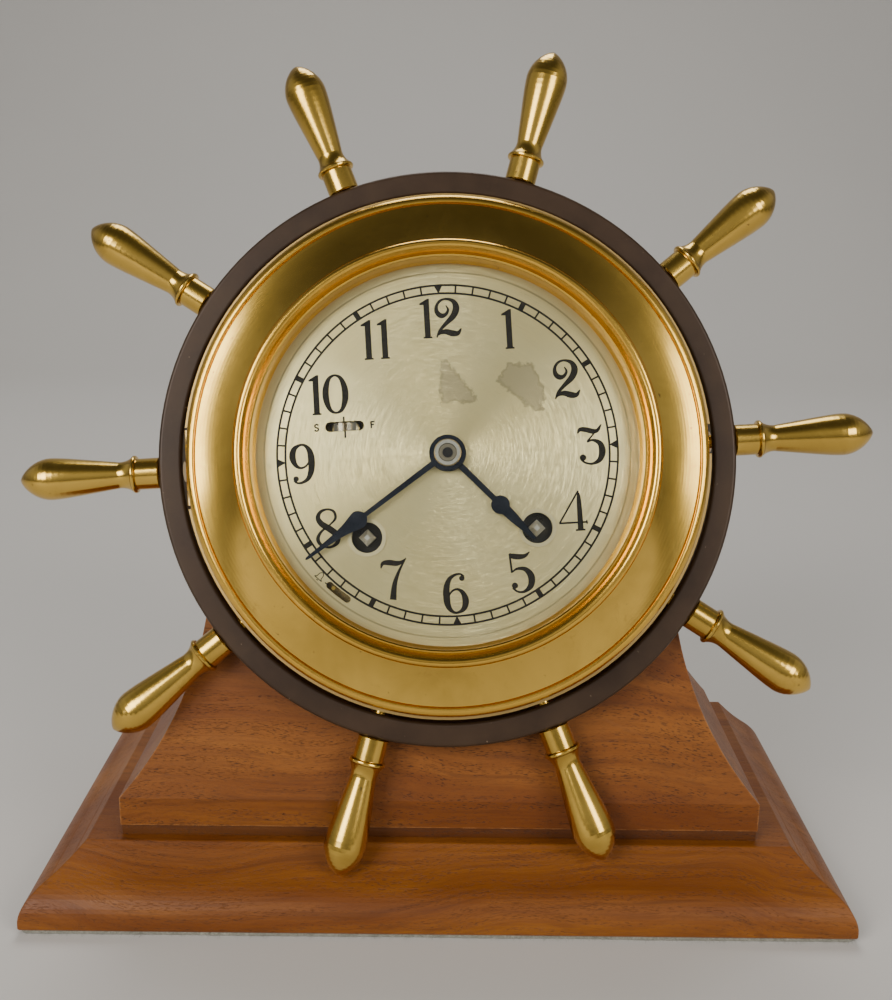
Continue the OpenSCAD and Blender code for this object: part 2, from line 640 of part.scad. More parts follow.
// knurled wheel on a level axle, its rim showing in the dial's slot
module regulator_wheel() color("#d9d6cc") clock_frame()
  translate([-slot_x, slot_y, reg_z]) rotate([90, 0, 0]) {
    translate([0, 0, -reg_w / 2]) linear_extrude(reg_w) polygon([for (i = [0:31])
      (i % 2 == 0 ? reg_r : reg_r - 0.7) * polar(360 * i / 32)]);
    cylinder(d = 1.2, h = 2 * reg_lug + 2.4, center = true);
  }

module silent_lever() color("#b98f3e") clock_frame() clock(silent_at) {
  translate([0, silent_r - silent_arm, 0]) clock(silent_travel / 2) {
    tube([0, 0], silent_z, silent_z + 1, 1.8, 1 + fit);
    translate([-0.7, 1.4, silent_z]) cube([1.4, silent_arm - 1.4, 1]);
    rod([0, silent_arm], silent_z, dial_z + 0.9, silent_pin_r);
  }
}

module hand_shape(outline, z, t) translate([0, 0, z]) linear_extrude(t)
  polygon(concat(outline, [for (i = [len(outline) - 1:-1:0]) [-outline[i][0], outline[i][1]]]));

// half outlines of the hands in hundredths of their length, [half width, distance from the centre]
function minute_half() = minute_len / 100 * [[1.72, 6], [1.3, 57.8], [1.7, 58.1], [3.05, 59], [4.2, 60.2],
  [4.9, 61.4], [5.15, 62.6], [5.05, 63.9], [4.77, 65], [4.1, 67.5], [3.4, 70], [2.86, 72.5], [2.3, 76],
  [1.9, 80], [1.62, 83.6], [1.3, 88], [1.15, 91.6], [0.9, 97.5], [0.67, 99.2], [0.3, 99.9], [0.05, 100]];
function hour_half() = hour_len / 100 * concat([[2.5, 8.6], [2.36, 53]], arc([0, 60.3], 7.64, -72, 54),
  [[4.3, 67.8], [4.15, 72], [3.9, 76.1], [3.35, 81.5], [2.64, 87], [2, 93], [1.53, 97.2], [1.1, 99],
   [0.4, 99.9], [0.05, 100]]);

module minute_hand() color("#15161a") clock_frame() clock(minute_at) difference() {
  union() {
    rod([0, 0], minute_hand_z, minute_hand_z + hand_t, 5.2);
    hand_shape(minute_half(), minute_hand_z, hand_t);
  }
  rod([0, 0], minute_hand_z - cut, minute_hand_z + hand_t + cut, cannon_r + fit);
}

module hour_hand() color("#15161a") clock_frame() clock(hour_at) difference() {
  union() {
    rod([0, 0], hour_hand_z, hour_hand_z + hand_t, 5.4);
    hand_shape(hour_half(), hour_hand_z, hand_t);
  }
  rod([0, 0], hour_hand_z - cut, hour_hand_z + hand_t + cut, hour_pipe_r + fit);
}

// round nut with a chamfered rim and a sunk face
module hand_nut() color("#c8c4b8") clock_frame() translate([0, 0, minute_hand_z + hand_t])
  rotate_extrude() polygon([[centre_arbor_r + fit, 0], [4, 0], [4, nut_t - 0.35], [3.7, nut_t],
    [2.7, nut_t], [2.5, nut_t - 0.35], [centre_arbor_r + fit, nut_t - 0.35]]);

// ---- movement ------------------------------------------------------------------------

module pivot_holes(z, t) for (p = [drive_at, strike_wheel_at, third_at, fourth_at, escape_at,
  pallet_at, fly_at]) rod(p, z - cut, z + t + cut, pivot_d / 2 + fit);

module click_post(p) rod(p, plate_front - 0.02, ratchet_z + ratchet_t + 0.8, 1);

module front_plate() color("#c9a24a") clock_frame() {
  difference() {
    rod([0, 0], plate_back, plate_front, plate_od / 2);
    pivot_holes(plate_back, plate_t);
    rod([0, 0], plate_back - cut, plate_front + cut, centre_arbor_r + fit);
    rod(balance_at, plate_back - cut, plate_front + cut, 0.5 + fit);
    rod(hammer_at, plate_back - cut, plate_front + cut, pivot_d / 2 + fit);
    for (p = [time_at, strike_at]) rod(p, plate_back - cut, plate_front + cut, arbor_d / 2 + fit);
    for (a = pillar_at) clock(a) rod([0, pillar_r], plate_back - cut, plate_front + cut, 1 + fit);
    for (a = lug_at) clock(a) rod([0, lug_r], plate_back - cut, plate_front + cut, 1 + fit);
    for (a = [30, 125, 330]) clock(a)
      rod([0, plate_od / 2 - 4], plate_back - cut, plate_front + cut, 1 + fit);
  }
  for (s = [-1, 1]) click_post([s * (time_at[0] + click_d * cos(click_dir)),
    time_at[1] + click_d * sin(click_dir)]);
  rod(motion_at, plate_front - 0.02, hour_z + motion_t + 0.6, 1);
  clock(silent_at) rod([0, silent_r - silent_arm], plate_front - 0.02, silent_z + 1.6, 1);
  clock(silent_at) rod([0, silent_r - silent_arm], plate_front - 0.02, silent_z - 0.2, 1.8);
  // two ears that carry the regulator wheel
  difference() {
    for (s = [-1, 1]) translate([-slot_x - 1.5, slot_y + s * (reg_lug + 0.6) - 0.6, plate_front - 0.02])
      cube([3, 1.2, reg_z - plate_front + 1.5]);
    translate([-slot_x, slot_y, reg_z]) rotate([90, 0, 0])
      cylinder(d = 1.2 + 2 * fit, h = 4 * reg_lug + 6, center = true);
  }
}

module back_plate() color("#c9a24a") clock_frame() difference() {
  rod([0, 0], rear_back, rear_front, plate_od / 2);
  pivot_holes(rear_back, plate_t);
  rod([0, 0], rear_back - cut, rear_front + cut, pivot_d / 2 + fit);
  rod(balance_at, rear_back - cut, rear_front + cut, 2);
  rod(hammer_at, rear_back - cut, rear_front + cut, shaft_d / 2 + fit);
  for (p = [time_at, strike_at]) rod(p, rear_back - cut, rear_front + cut, 2 + fit);
  for (a = pillar_at) clock(a) rod([0, pillar_r], rear_back - cut, rear_front + cut, 1 + fit);
  for (a = [-1, 1]) rod(balance_at + cock_reach * polar(cock_dir) + a * 1.6 * polar(cock_dir + 90),
    rear_back - cut, rear_front + cut, 0.6 + fit);
  // slots that let the plate pass the case lugs
  for (a = lug_at) clock(a) translate([-4.6, lug_r - 5, rear_back - cut])
    cube([9.2, 12, plate_t + 2 * cut]);
}

module pillars() color("#b98f3e") clock_frame() for (a = pillar_at) clock(a) {
  tube([0, pillar_r], rear_front, plate_back, 2.4, 1 + fit);
  tube([0, pillar_r], rear_front + 4, plate_back - 4, 2.9, 2);
}

module movement_screws() color("#3f4660") clock_frame() {
  for (a = pillar_at) clock(a) translate([0, pillar_r, 0]) {
    cheese_screw(plate_front, 2, 4, 1.2, plate_t + 4);
    mirror([0, 0, 1]) cheese_screw(-rear_back, 2, 4, 1.2, plate_t + 4);
  }
  for (a = lug_at) clock(a) translate([0, lug_r, 0]) cheese_screw(plate_front, 2, 4, 1.2, plate_t + 2.4);
}

module barrel(p, teeth_turn = 0) {
  difference() {
    rod(p, barrel_z, great_z, barrel_d / 2);
    rod(p, barrel_z + barrel_wall, great_z + cut, barrel_d / 2 - barrel_wall);
    rod(p, barrel_z - cut, great_z + cut, arbor_d / 2 + fit);
  }
  gear([p[0], p[1]], great_z, great_t, great_teeth, great_module, teeth_turn, arbor_d / 2 + fit, 0);
}

module time_barrel() color("#c9a24a") clock_frame() barrel(time_at);
module strike_barrel() color("#c9a24a") clock_frame() barrel(strike_at);

// winding arbor with its hub, its ratchet wheel and the square for the key
module wind_arbor(p, s) {
  rod(p, rear_back, rear_front + 0.5, 2);
  rod(p, rear_front + 0.3, ratchet_z + ratchet_t, arbor_d / 2);
  rod(p, barrel_z + barrel_wall + 0.2, great_z - 0.2, hub_r);
  translate([p[0], p[1], ratchet_z]) linear_extrude(ratchet_t) polygon([for (i = [0:ratchet_teeth - 1])
    for (k = [[0, 1], [0.08, 0.86]])
    ratchet_r * k[1] * polar(s * 360 * (i + k[0]) / ratchet_teeth)]);
  translate([p[0], p[1], 0]) rotate([0, 0, -wheel_turn]) {
    rotate([0, 0, 45]) translate([-square_w / 2, -square_w / 2, ratchet_z + ratchet_t - 0.2])
      cube([square_w, square_w, square_end - ratchet_z - ratchet_t + 0.2]);
    translate([0, 0, square_end - 0.01])
      cylinder(d1 = square_w * sqrt(2), d2 = square_w * 0.5, h = 1.2, $fn = 4);
  }
}

module time_arbor() color("#8f8c86") clock_frame() wind_arbor(time_at, 1);
module strike_arbor() color("#8f8c86") clock_frame() wind_arbor(strike_at, -1);

// flat spiral strip
module spiral(r0, r1, turns, t, n) polygon(concat(
  [for (i = [0:turns * n]) (r0 + t + (r1 - t - r0) * i / (turns * n)) * polar(360 * i / n)],
  [for (i = [turns * n:-1:0]) (r0 + (r1 - t - r0) * i / (turns * n)) * polar(360 * i / n)]));

module mainspring(p) translate([p[0], p[1], barrel_z + barrel_wall + 0.4])
  linear_extrude(great_z - barrel_z - barrel_wall - 0.8)
  spiral(hub_r + 0.05, barrel_d / 2 - barrel_wall - gap, 8, 0.4, 24);

module time_mainspring() color("#5d6068") clock_frame() mainspring(time_at);
module strike_mainspring() color("#5d6068") clock_frame() mainspring(strike_at);

// click that stands just clear of the ratchet wheel
module click() {
  pivot = time_at + click_d * polar(click_dir);
  tip = time_at + (ratchet_r + 0.5) * polar(click_dir - 40);
  back = dir(pivot, tip);
  tube(pivot, ratchet_z, ratchet_z + ratchet_t, 2.2, 1 + fit);
  translate([0, 0, ratchet_z]) linear_extrude(ratchet_t) polygon([pivot + 1.6 * polar(back - 40),
    pivot + 1.6 * polar(back + 60), pivot + 4.2 * polar(back + 18), tip]);
}
module time_click() color("#8f8c86") clock_frame() click();
module strike_click() color("#8f8c86") clock_frame() mirror([1, 0, 0]) click();

module drive_wheel() color("#c9a24a") clock_frame() {
  arbor(drive_at);
  gear(drive_at, great_z + 0.15, great_t + 0.4, leaf_teeth, great_module,
    mesh(great_teeth, 0, leaf_teeth, dir(time_at, drive_at)), 0);
  gear(drive_at, drive_z, drive_t, drive_teeth, drive_module, 0, 0);
}

module centre_wheel() color("#c9a24a") clock_frame() {
  rod([0, 0], rear_back, rear_front + play, pivot_d / 2);
  rod([0, 0], rear_front + play, minute_hand_z + hand_t + nut_t + 0.2, centre_arbor_r);
  gear([0, 0], centre_z, wheel_t, centre_teeth, train_module, 0, 0);
  gear([0, 0], drive_z - 0.3, drive_t + 0.6, leaf_teeth, drive_module,
    mesh(drive_teeth, 0, leaf_teeth, dir(drive_at, [0, 0])), 0);
}

module third_wheel() color("#c9a24a") clock_frame() {
  arbor(third_at);
  gear(third_at, centre_z - 0.3, wheel_t + 0.6, small_teeth, train_module,
    mesh(centre_teeth, 0, small_teeth, third_dir), 0);
  gear(third_at, third_z, wheel_t, third_teeth, train_module, 0, 0);
}

module fourth_wheel() color("#c9a24a") clock_frame() {
  arbor(fourth_at, 1);
  gear(fourth_at, third_z - 0.3, wheel_t + 0.6, small_teeth, train_module,
    mesh(third_teeth, 0, small_teeth, fourth_dir), 0);
  gear(fourth_at, fourth_z, wheel_t, fourth_teeth, fourth_module, 0, 0);
}

module escape_wheel() color("#c9a24a") clock_frame() {
  arbor(escape_at, 0.9);
  gear(escape_at, fourth_z - 0.3, wheel_t + 0.6, small_teeth, fourth_module,
    mesh(fourth_teeth, 0, small_teeth, escape_dir), 0);
  translate([escape_at[0], escape_at[1], escape_z]) linear_extrude(wheel_t) polygon([for (i = [0:14])
    for (k = [[0, 1], [3, 0.94], [8, 0.76], [16, 0.76]]) escape_r * k[1] * polar(24 * i + k[0])]);
}

module pallet_fork() color("#8f8c86") clock_frame() {
  arbor(pallet_at, 0.9);
  translate([pallet_at[0], pallet_at[1], escape_z]) rotate([0, 0, lever_dir]) linear_extrude(wheel_t) {
    circle(r = 1.6);
    translate([0, -0.6]) square([5.4, 1.2]);
    for (s = [-1, 1]) translate([4.6, s * 0.9 - 0.4]) square([1.6, 0.8]);
    // two pallets that stand just clear of the escape wheel
    for (s = [-1, 1]) polygon([[0, s * 0.9], [-2.9, s * 4.1], [-2.2, s * 4.7], [0.8, s * 1]]);
  }
}

module balance_wheel() color("#c9a24a") clock_frame() {
  translate([balance_at[0], balance_at[1], balance_z]) linear_extrude(1) {
    difference() {
      circle(d = balance_d);
      circle(d = balance_d - 2.6);
    }
    for (i = [0:2]) rotate(120 * i) translate([0, -0.6]) square([balance_d / 2 - 1, 1.2]);
    circle(r = 1.6);
  }
  rod(balance_at, cock_z + 0.4, plate_front - 0.4, 0.5);
  rod(balance_at, cock_z + 2.2, plate_back - play, 0.9);
  // roller and its pin
  rod(balance_at, escape_z + wheel_t + 0.2, escape_z + wheel_t + 0.9, 2.8);
  rod(balance_at - 2 * polar(lever_dir), escape_z, escape_z + wheel_t + 0.6, 0.4);
}

module hairspring() color("#3f4660") clock_frame() translate([balance_at[0], balance_at[1],
  balance_z - 1.3]) linear_extrude(0.5) spiral(0.95, 5.6, 5, 0.2, 24);

module balance_cock() color("#c9a24a") clock_frame() difference() {
  foot = balance_at + cock_reach * polar(cock_dir);
  union() {
    rod(foot, cock_z, rear_back, 3.4);
    rod(balance_at, cock_z, cock_z + 1.6, 2.6);
    translate([balance_at[0], balance_at[1], cock_z]) rotate([0, 0, cock_dir]) translate([0, -2.2, 0])
      cube([cock_reach, 4.4, 1.6]);
  }
  rod(balance_at, cock_z - cut, cock_z + 2 + cut, 0.5 + fit);
}

module cannon_pinion() color("#b98f3e") clock_frame() {
  tube([0, 0], plate_front + 0.3, minute_hand_z + hand_t, cannon_r, centre_arbor_r + fit);
  gear([0, 0], motion_z - 0.2, motion_t + 0.4, cannon_teeth, motion_module,
    mesh(minute_teeth, 0, cannon_teeth, motion_dir + 180), cannon_r - 0.02);
}

module minute_wheel() color("#c9a24a") clock_frame() difference() {
  union() {
    rod(motion_at, plate_front + 0.3, hour_z + motion_t, 1.9);
    gear(motion_at, motion_z, motion_t, minute_teeth, motion_module, 0, 1.85);
    gear(motion_at, motion_z + motion_t - 0.01, hour_z - motion_z + 0.2, minute_leaves, hour_module,
      mesh(hour_teeth, 0, minute_leaves, motion_dir), 1.85);
  }
  rod(motion_at, plate_front, hour_z + motion_t + cut, 1 + fit);
}

module hour_wheel() color("#c9a24a") clock_frame() {
  tube([0, 0], hour_z, hour_hand_z + hand_t, hour_pipe_r, cannon_r + fit);
  gear([0, 0], hour_z, motion_t, hour_teeth, hour_module, 0, hour_pipe_r - 0.02);
}

module strike_wheel() color("#c9a24a") clock_frame() {
  arbor(strike_wheel_at);
  gear(strike_wheel_at, great_z + 0.15, great_t + 0.4, leaf_teeth, great_module,
    mesh(great_teeth, 0, leaf_teeth, dir(strike_at, strike_wheel_at)), 0);
  gear(strike_wheel_at, drive_z, drive_t, strike_teeth, drive_module, 0, 0);
  for (i = [0:7]) rod(strike_wheel_at + pin_ring_r * polar(45 * i), drive_z + drive_t - 0.1,
    drive_z + drive_t + 1.2, 0.5);
}

module strike_fly() color("#c9a24a") clock_frame() {
  arbor(fly_at);
  gear(fly_at, drive_z - 0.3, drive_t + 0.6, fly_teeth, drive_module,
    mesh(strike_teeth, 0, fly_teeth, fly_dir), 0);
  translate([fly_at[0], fly_at[1], 0]) rotate([0, 0, 30])
    translate([-8, -0.4, rear_front + 3]) cube([16, 0.8, 9]);
}

module hammer() color("#8f8c86") clock_frame() {
  rod(hammer_at, plate_back - play, plate_front, pivot_d / 2);
  rod(hammer_at, hammer_z - 1, plate_back - play, shaft_d / 2);
  translate([hammer_at[0], hammer_at[1], hammer_z - 1]) rotate([0, 0, hammer_dir + 90])
    translate([0, -1, 0]) cube([hammer_arm, 2, 2]);
  rod(hammer_at, hammer_z - 1, hammer_z + 1, 2.4);
  translate([hammer_head[0], hammer_head[1], hammer_z]) rotate([0, 0, hammer_dir]) rotate([0, 90, 0])
    cylinder(r = 2.6, h = 6, center = true);
  // lifting tail, just clear of the pins
  rod(hammer_at, plate_back - 1.3, plate_back - 0.5, 2.2);
  translate([hammer_at[0], hammer_at[1], plate_back - 1.3])
    rotate([0, 0, dir(hammer_at, strike_wheel_at)]) translate([0, -0.8, 0]) cube([8.8, 1.6, 0.8]);
}

module bell() color("#c8b27a") clock_frame() translate([bell_at[0], bell_at[1], bell_z])
  rotate_extrude($fn = 120) polygon(concat(
    [[3.1, 0], [bell_d / 2 - 5, 0]], arc([bell_d / 2 - 5, 5], 5, -80, 0, 6), [[bell_d / 2, bell_rise]],
    [[bell_d / 2 - bell_t, bell_rise]], arc([bell_d / 2 - 5, 5], 5 - bell_t, 0, -80, 6),
    [[bell_d / 2 - 5, bell_t], [3.1, bell_t]]));

// post riveted in the back cover, with the nut that holds the bell
module bell_post() color("#b98f3e") clock_frame() {
  rod(bell_at, -drum_len, bell_z, 4);
  rod(bell_at, -drum_len - cover_t, bell_z + bell_t + 3, 2);
  translate([bell_at[0], bell_at[1], bell_z + bell_t]) cylinder(d = 8, h = 2.4, $fn = 6);
}

felt_pad();
base_board();
plinth();
plinth_screws();
case_screws();
wheel_ring();
spindle(0);  // spindle_01
spindle(1);  // spindle_02
spindle(2);  // spindle_03
spindle(3);  // spindle_04
spindle(4);  // spindle_05
spindle(5);  // spindle_06
spindle(6);  // spindle_07
spindle(7);  // spindle_08
spindle(8);  // spindle_09
spindle(9);  // spindle_10
case_drum();
back_cover();
back_screws();
hinge_leaves();
catch_spring();
bezel();
glass();
sight_ring();
dial();
winding_grommets();
regulator_wheel();
silent_lever();
hour_hand();
minute_hand();
hand_nut();
front_plate();
back_plate();
pillars();
movement_screws();
time_barrel();
time_arbor();
time_mainspring();
time_click();
strike_barrel();
strike_arbor();
strike_mainspring();
strike_click();
drive_wheel();
centre_wheel();
third_wheel();
fourth_wheel();
escape_wheel();
pallet_fork();
balance_wheel();
hairspring();
balance_cock();
cannon_pinion();
minute_wheel();
hour_wheel();
strike_wheel();
hammer();
bell();
bell_post();
strike_fly();
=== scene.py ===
import json
import math
import bpy
import numpy as np
from mathutils import Matrix, Vector


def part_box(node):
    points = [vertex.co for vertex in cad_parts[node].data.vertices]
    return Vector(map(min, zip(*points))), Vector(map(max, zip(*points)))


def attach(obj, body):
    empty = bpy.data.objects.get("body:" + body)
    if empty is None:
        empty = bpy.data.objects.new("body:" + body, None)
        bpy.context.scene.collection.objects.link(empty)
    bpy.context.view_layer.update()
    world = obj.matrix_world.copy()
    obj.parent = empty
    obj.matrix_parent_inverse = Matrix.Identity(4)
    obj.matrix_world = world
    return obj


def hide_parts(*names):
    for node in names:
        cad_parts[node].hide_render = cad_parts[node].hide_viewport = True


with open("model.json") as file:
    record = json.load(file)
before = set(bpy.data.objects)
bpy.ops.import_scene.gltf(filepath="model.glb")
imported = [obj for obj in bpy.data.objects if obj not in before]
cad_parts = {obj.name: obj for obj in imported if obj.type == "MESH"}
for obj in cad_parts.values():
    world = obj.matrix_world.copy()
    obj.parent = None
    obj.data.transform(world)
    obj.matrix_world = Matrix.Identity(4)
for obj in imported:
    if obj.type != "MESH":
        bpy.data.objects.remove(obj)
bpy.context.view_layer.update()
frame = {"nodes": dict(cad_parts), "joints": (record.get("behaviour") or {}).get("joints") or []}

# ---- Camera -----------------------------------------------------------------------
# A standing viewer's eye close in front of the clock, looking down by fifteen degrees.
# The lens is a little longer than normal: a metre away it sees a width of 0.73 m.
eye, sensor, seen_width = (0.00074, -0.37295, 0.22012), 36, 0.7305
down, aside, roll = (math.radians(angle) for angle in (15.33, 0.04, 0.64))
ahead = Vector((math.sin(aside) * math.cos(down), math.cos(aside) * math.cos(down), -math.sin(down)))
level = Vector((math.cos(aside), -math.sin(aside), 0))
side = level * math.cos(roll) + level.cross(ahead) * math.sin(roll)
camera = bpy.data.objects.new("camera", bpy.data.cameras.new("camera"))
camera.data.sensor_fit, camera.data.sensor_width = "HORIZONTAL", sensor
camera.data.lens = sensor / seen_width
camera.matrix_world = Matrix.Translation(eye) @ Matrix(
    (side, side.cross(ahead), -ahead)).transposed().to_4x4()
bpy.context.scene.collection.objects.link(camera)
bpy.context.scene.camera = camera


# ---- Floor and studio light ---------------------------------------------------------
# A pale matt sweep that rises behind the clock, two soft panels in front of it to the left
# and the right, and one behind it overhead, as in a small product studio.
class Wire:
    """An output socket. + - * ** on wires and numbers add Math nodes."""

    def __init__(self, finish, socket):
        self.finish, self.socket = finish, socket

    def math(self, operation, *others):
        return self.finish.node("ShaderNodeMath", {"operation": operation}, *((self,) + others))

    def __add__(self, other):
        return self.math("ADD", other)

    def __mul__(self, other):
        return self.math("MULTIPLY", other)

    def __sub__(self, other):
        return self.math("SUBTRACT", other)

    def __pow__(self, other):
        return self.math("POWER", other)

    def __rsub__(self, other):
        return self.finish.node("ShaderNodeMath", {"operation": "SUBTRACT"}, other, self)

    __radd__, __rmul__ = __add__, __mul__

    def rise(self, low, high):
        """0 below low, 1 above high, and smooth between them; high may be less than low."""
        return self.finish.node("ShaderNodeMapRange", {"interpolation_type": "SMOOTHSTEP"},
                                self, low, high, 0.0, 1.0)


class Finish:
    """A material, or the sky, made of nodes. Each call of node() adds one."""

    def __init__(self, name, owner=None):
        self.owner = owner or bpy.data.materials.new(name)
        self.owner.use_nodes = True
        self.tree = self.owner.node_tree
        self.tree.nodes.clear()

    def node(self, kind, settings=None, *values, out=0, **named):
        """Adds a node: its settings first, then its inputs by place or by name. None leaves
        an input as it is."""
        made = self.tree.nodes.new(kind)
        for key, value in (settings or {}).items():
            setattr(made, key, value)
        named = {key.replace("_", " "): value for key, value in named.items()}
        for key, value in list(enumerate(values)) + list(named.items()):
            if value is not None:
                self.fill(made.inputs[key], value)
        return Wire(self, made.outputs[out]) if len(made.outputs) else None

    def fill(self, socket, value):
        """Links a wire to an input or writes a value there; a colour gets its alpha."""
        if isinstance(value, Wire):
            self.tree.links.new(value.socket, socket)
        elif socket.type == "RGBA":
            socket.default_value = (*value, 1)
        else:
            socket.default_value = value

    def place(self):
        """Position on the object, in metres."""
        return self.node("ShaderNodeTexCoord", None, out="Object")

    def vector(self, operation, a, b=None, scale=None):
        """A Vector Math node; its number comes out second."""
        out = 1 if operation in ("DOT_PRODUCT", "LENGTH", "DISTANCE") else 0
        return self.node("ShaderNodeVectorMath", {"operation": operation}, a, b, None, scale, out=out)

    def blend(self, share, a, b):
        """Colour a where share is 0 and b where it is 1."""
        mixed = self.tree.nodes.new("ShaderNodeMix")
        mixed.data_type = "RGBA"
        for key, value in ((0, share), (6, a), (7, b)):
            self.fill(mixed.inputs[key], value)
        return Wire(self, mixed.outputs[2])

    def noise(self, at, scale, detail=2.0, rough=0.5, twist=0.0):
        """Noise from 0 to 1, mostly near 0.5, with scale in cells a metre."""
        return self.node("ShaderNodeTexNoise", None, Vector=at, Scale=scale, Detail=detail,
                         Roughness=rough, Distortion=twist)

    def bump(self, height, distance, strength=1.0):
        """Normal from a height map; distance is in metres."""
        return self.node("ShaderNodeBump", None, Strength=strength, Distance=distance,
                         Height=height)

    def arris(self, radius):
        """0 on flats, and above 0 within the radius of an edge, where a rounded normal and
        the true one part."""
        return 1.0 - self.vector("DOT_PRODUCT", self.node("ShaderNodeBevel", {"samples": 6}, radius),
                                 self.node("ShaderNodeNewGeometry", out="Normal"))

    def surface(self, **sockets):
        """The shader itself and the output."""
        shader = self.node("ShaderNodeBsdfPrincipled", None, **sockets)
        self.node("ShaderNodeOutputMaterial", None, shader)
        return self.owner


sweep = Finish("studio_floor")
sweep.surface(Base_Color=sweep.blend(sweep.noise(sweep.place(), 3.0), (0.62, 0.60, 0.57),
                                     (0.66, 0.64, 0.61)), Roughness=0.75)


def floor_sweep(half_width=3.0, front=-2.0, back=0.9, bend=0.8, top=3.0):
    """A grid with x across it. Along it the floor runs flat from front to back, then turns up
    on a quarter circle, y = back + bend sin t and z = bend (1 - cos t), and goes on to the top."""
    turn = np.linspace(0, math.pi / 2, 25)
    y = np.concatenate([[front], np.linspace(-1, back, 3), back + bend * np.sin(turn[1:]), [back + bend]])
    z = np.concatenate([[0.0] * 4, bend * (1 - np.cos(turn[1:])), [top]])
    x = np.linspace(-half_width, half_width, 7)
    return np.stack(np.broadcast_arrays(x[None, :], y[:, None], z[:, None]), -1)


grid = floor_sweep()
rows, columns = grid.shape[:2]
number = np.arange(rows * columns).reshape(rows, columns)
mesh = bpy.data.meshes.new("floor")
mesh.from_pydata(grid.reshape(-1, 3).tolist(), [], np.stack(
    [number[:-1, :-1], number[:-1, 1:], number[1:, 1:], number[1:, :-1]], -1).reshape(-1, 4).tolist())
mesh.materials.append(sweep.owner)
mesh.shade_smooth()
floor = bpy.data.objects.new("floor", mesh)
bpy.context.scene.collection.objects.link(floor)

for name, power, size, place, aim, colour in (
        ("left_panel", 15, 0.75, (-0.84, -1.10, 0.78), (0, 0, 0.12), (1.0, 0.97, 0.92)),
        ("right_panel", 9, 0.65, (0.90, -1.05, 0.72), (0, 0, 0.12), (1.0, 0.96, 0.90)),
        ("overhead", 8, 0.7, (0.0, 0.75, 1.35), (0, 0, 0.1), (1.0, 0.99, 0.97))):
    lamp = bpy.data.lights.new(name, "AREA")
    lamp.shape, lamp.size, lamp.energy, lamp.color = "SQUARE", size, power, colour
    light = bpy.data.objects.new(name, lamp)
    light.matrix_world = Matrix.Translation(place) @ (Vector(aim) - Vector(place)).to_track_quat(
        "-Z", "Y").to_matrix().to_4x4()
    bpy.context.scene.collection.objects.link(light)
world = bpy.data.worlds.new("studio")
bpy.context.scene.world = world
sky = Finish("studio", world)
height = sky.node("ShaderNodeSeparateXYZ", None, sky.node("ShaderNodeTexCoord", None), out="Z")
walls = sky.blend(height.rise(-0.1, 0.4), (0.30, 0.29, 0.28), (0.80, 0.80, 0.80))
room = sky.blend(height.rise(0.5, 0.9), walls, (0.15, 0.145, 0.14))
sky.node("ShaderNodeOutputWorld", None, sky.node("ShaderNodeBackground", None, room, 0.45))


# ---- Felt pad ------------------------------------------------------------------------
# Grey-green wool felt glued under the board. Its cut edge is soft and stands out in
# short loose fibres.
def closed(rows, columns, loop=False):
    """Faces of a grid whose columns close on themselves: quads, and a flat face over the
    first and the last row, or quads between those two where the rows loop too."""
    number = np.arange(rows * columns).reshape(rows, columns)
    ahead = np.roll(number, -1, 1)
    last = rows if loop else rows - 1
    after = np.roll(number, -1, 0)
    quads = np.stack([number[:last], ahead[:last], after[:last], np.roll(after, -1, 1)[:last]],
                     -1)[..., [0, 1, 3, 2]].reshape(-1, 4).tolist()
    if not loop:
        quads += [number[0, ::-1].tolist(), number[-1].tolist()]
    return quads


def piece(name, shells, body, finish, smooth=True):
    """One object from shells of (points, faces), riding on a body, with its finish."""
    points, faces, start = [], [], 0
    for shell_points, shell_faces in shells:
        shell_points = np.asarray(shell_points).reshape(-1, 3)
        points.append(shell_points)
        faces += [[start + i for i in face] for face in shell_faces]
        start += len(shell_points)
    mesh = bpy.data.meshes.new(name)
    mesh.from_pydata(np.concatenate(points).tolist(), [], faces)
    mesh.materials.append(finish)
    if smooth:
        mesh.shade_smooth()
        mesh.set_sharp_from_angle(angle=math.radians(38))
    made = bpy.data.objects.new(name, mesh)
    bpy.context.scene.collection.objects.link(made)
    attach(made, body)
    return made


wool = Finish("wool_felt")
hair = wool.noise(wool.place(), 900, 4, 0.7, 1.5)
fleck = wool.noise(wool.place(), 240, 3)
felt_finish = wool.surface(
    Base_Color=wool.blend(hair.rise(0.3, 0.75), (0.17, 0.165, 0.13),
                          wool.blend(fleck.rise(0.4, 0.65), (0.31, 0.30, 0.24), (0.42, 0.40, 0.33))),
    Roughness=0.95, Sheen_Weight=0.35, Sheen_Roughness=0.6,
    Normal=wool.bump(hair, 0.0004, 0.7))
low, high = (np.array(c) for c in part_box("felt_pad"))


def felt_slab(across=150, round_edge=0.00045, slack=0.0001, waviness=0.00022):
    """Rectangles stacked from the underside to the top: the edge bulges on a half circle, lies
    inside the pad's box by the slack, and wanders with seeded noise."""
    half, at = (high - low)[:2] / 2, (high + low)[:2] / 2
    angle = (np.arange(4 * across) + 0.5) / (4 * across) * 2 * math.pi
    square = np.stack([np.cos(angle), np.sin(angle)], 1)
    square /= np.abs(square).max(1, keepdims=True)
    waver = np.random.default_rng(3).normal(0, 1, 4 * across)
    waver = np.convolve(np.concatenate([waver[-4:], waver, waver[:4]]), np.ones(9) / 9, "valid")
    rise = np.array([0, 0.12, 0.5, 0.88, 1.0])
    inset = round_edge * (1 - np.sqrt(1 - (2 * rise - 1) ** 2)) + slack
    rim = half[None, :] - inset[:, None]
    ring = square[None] * rim[:, None, :] + square[None] * waviness * waver[None, :, None]
    tall = np.broadcast_to((low[2] + rise * (high[2] - low[2]))[:, None], ring.shape[:2])
    return np.concatenate([ring + at, tall[..., None]], -1)


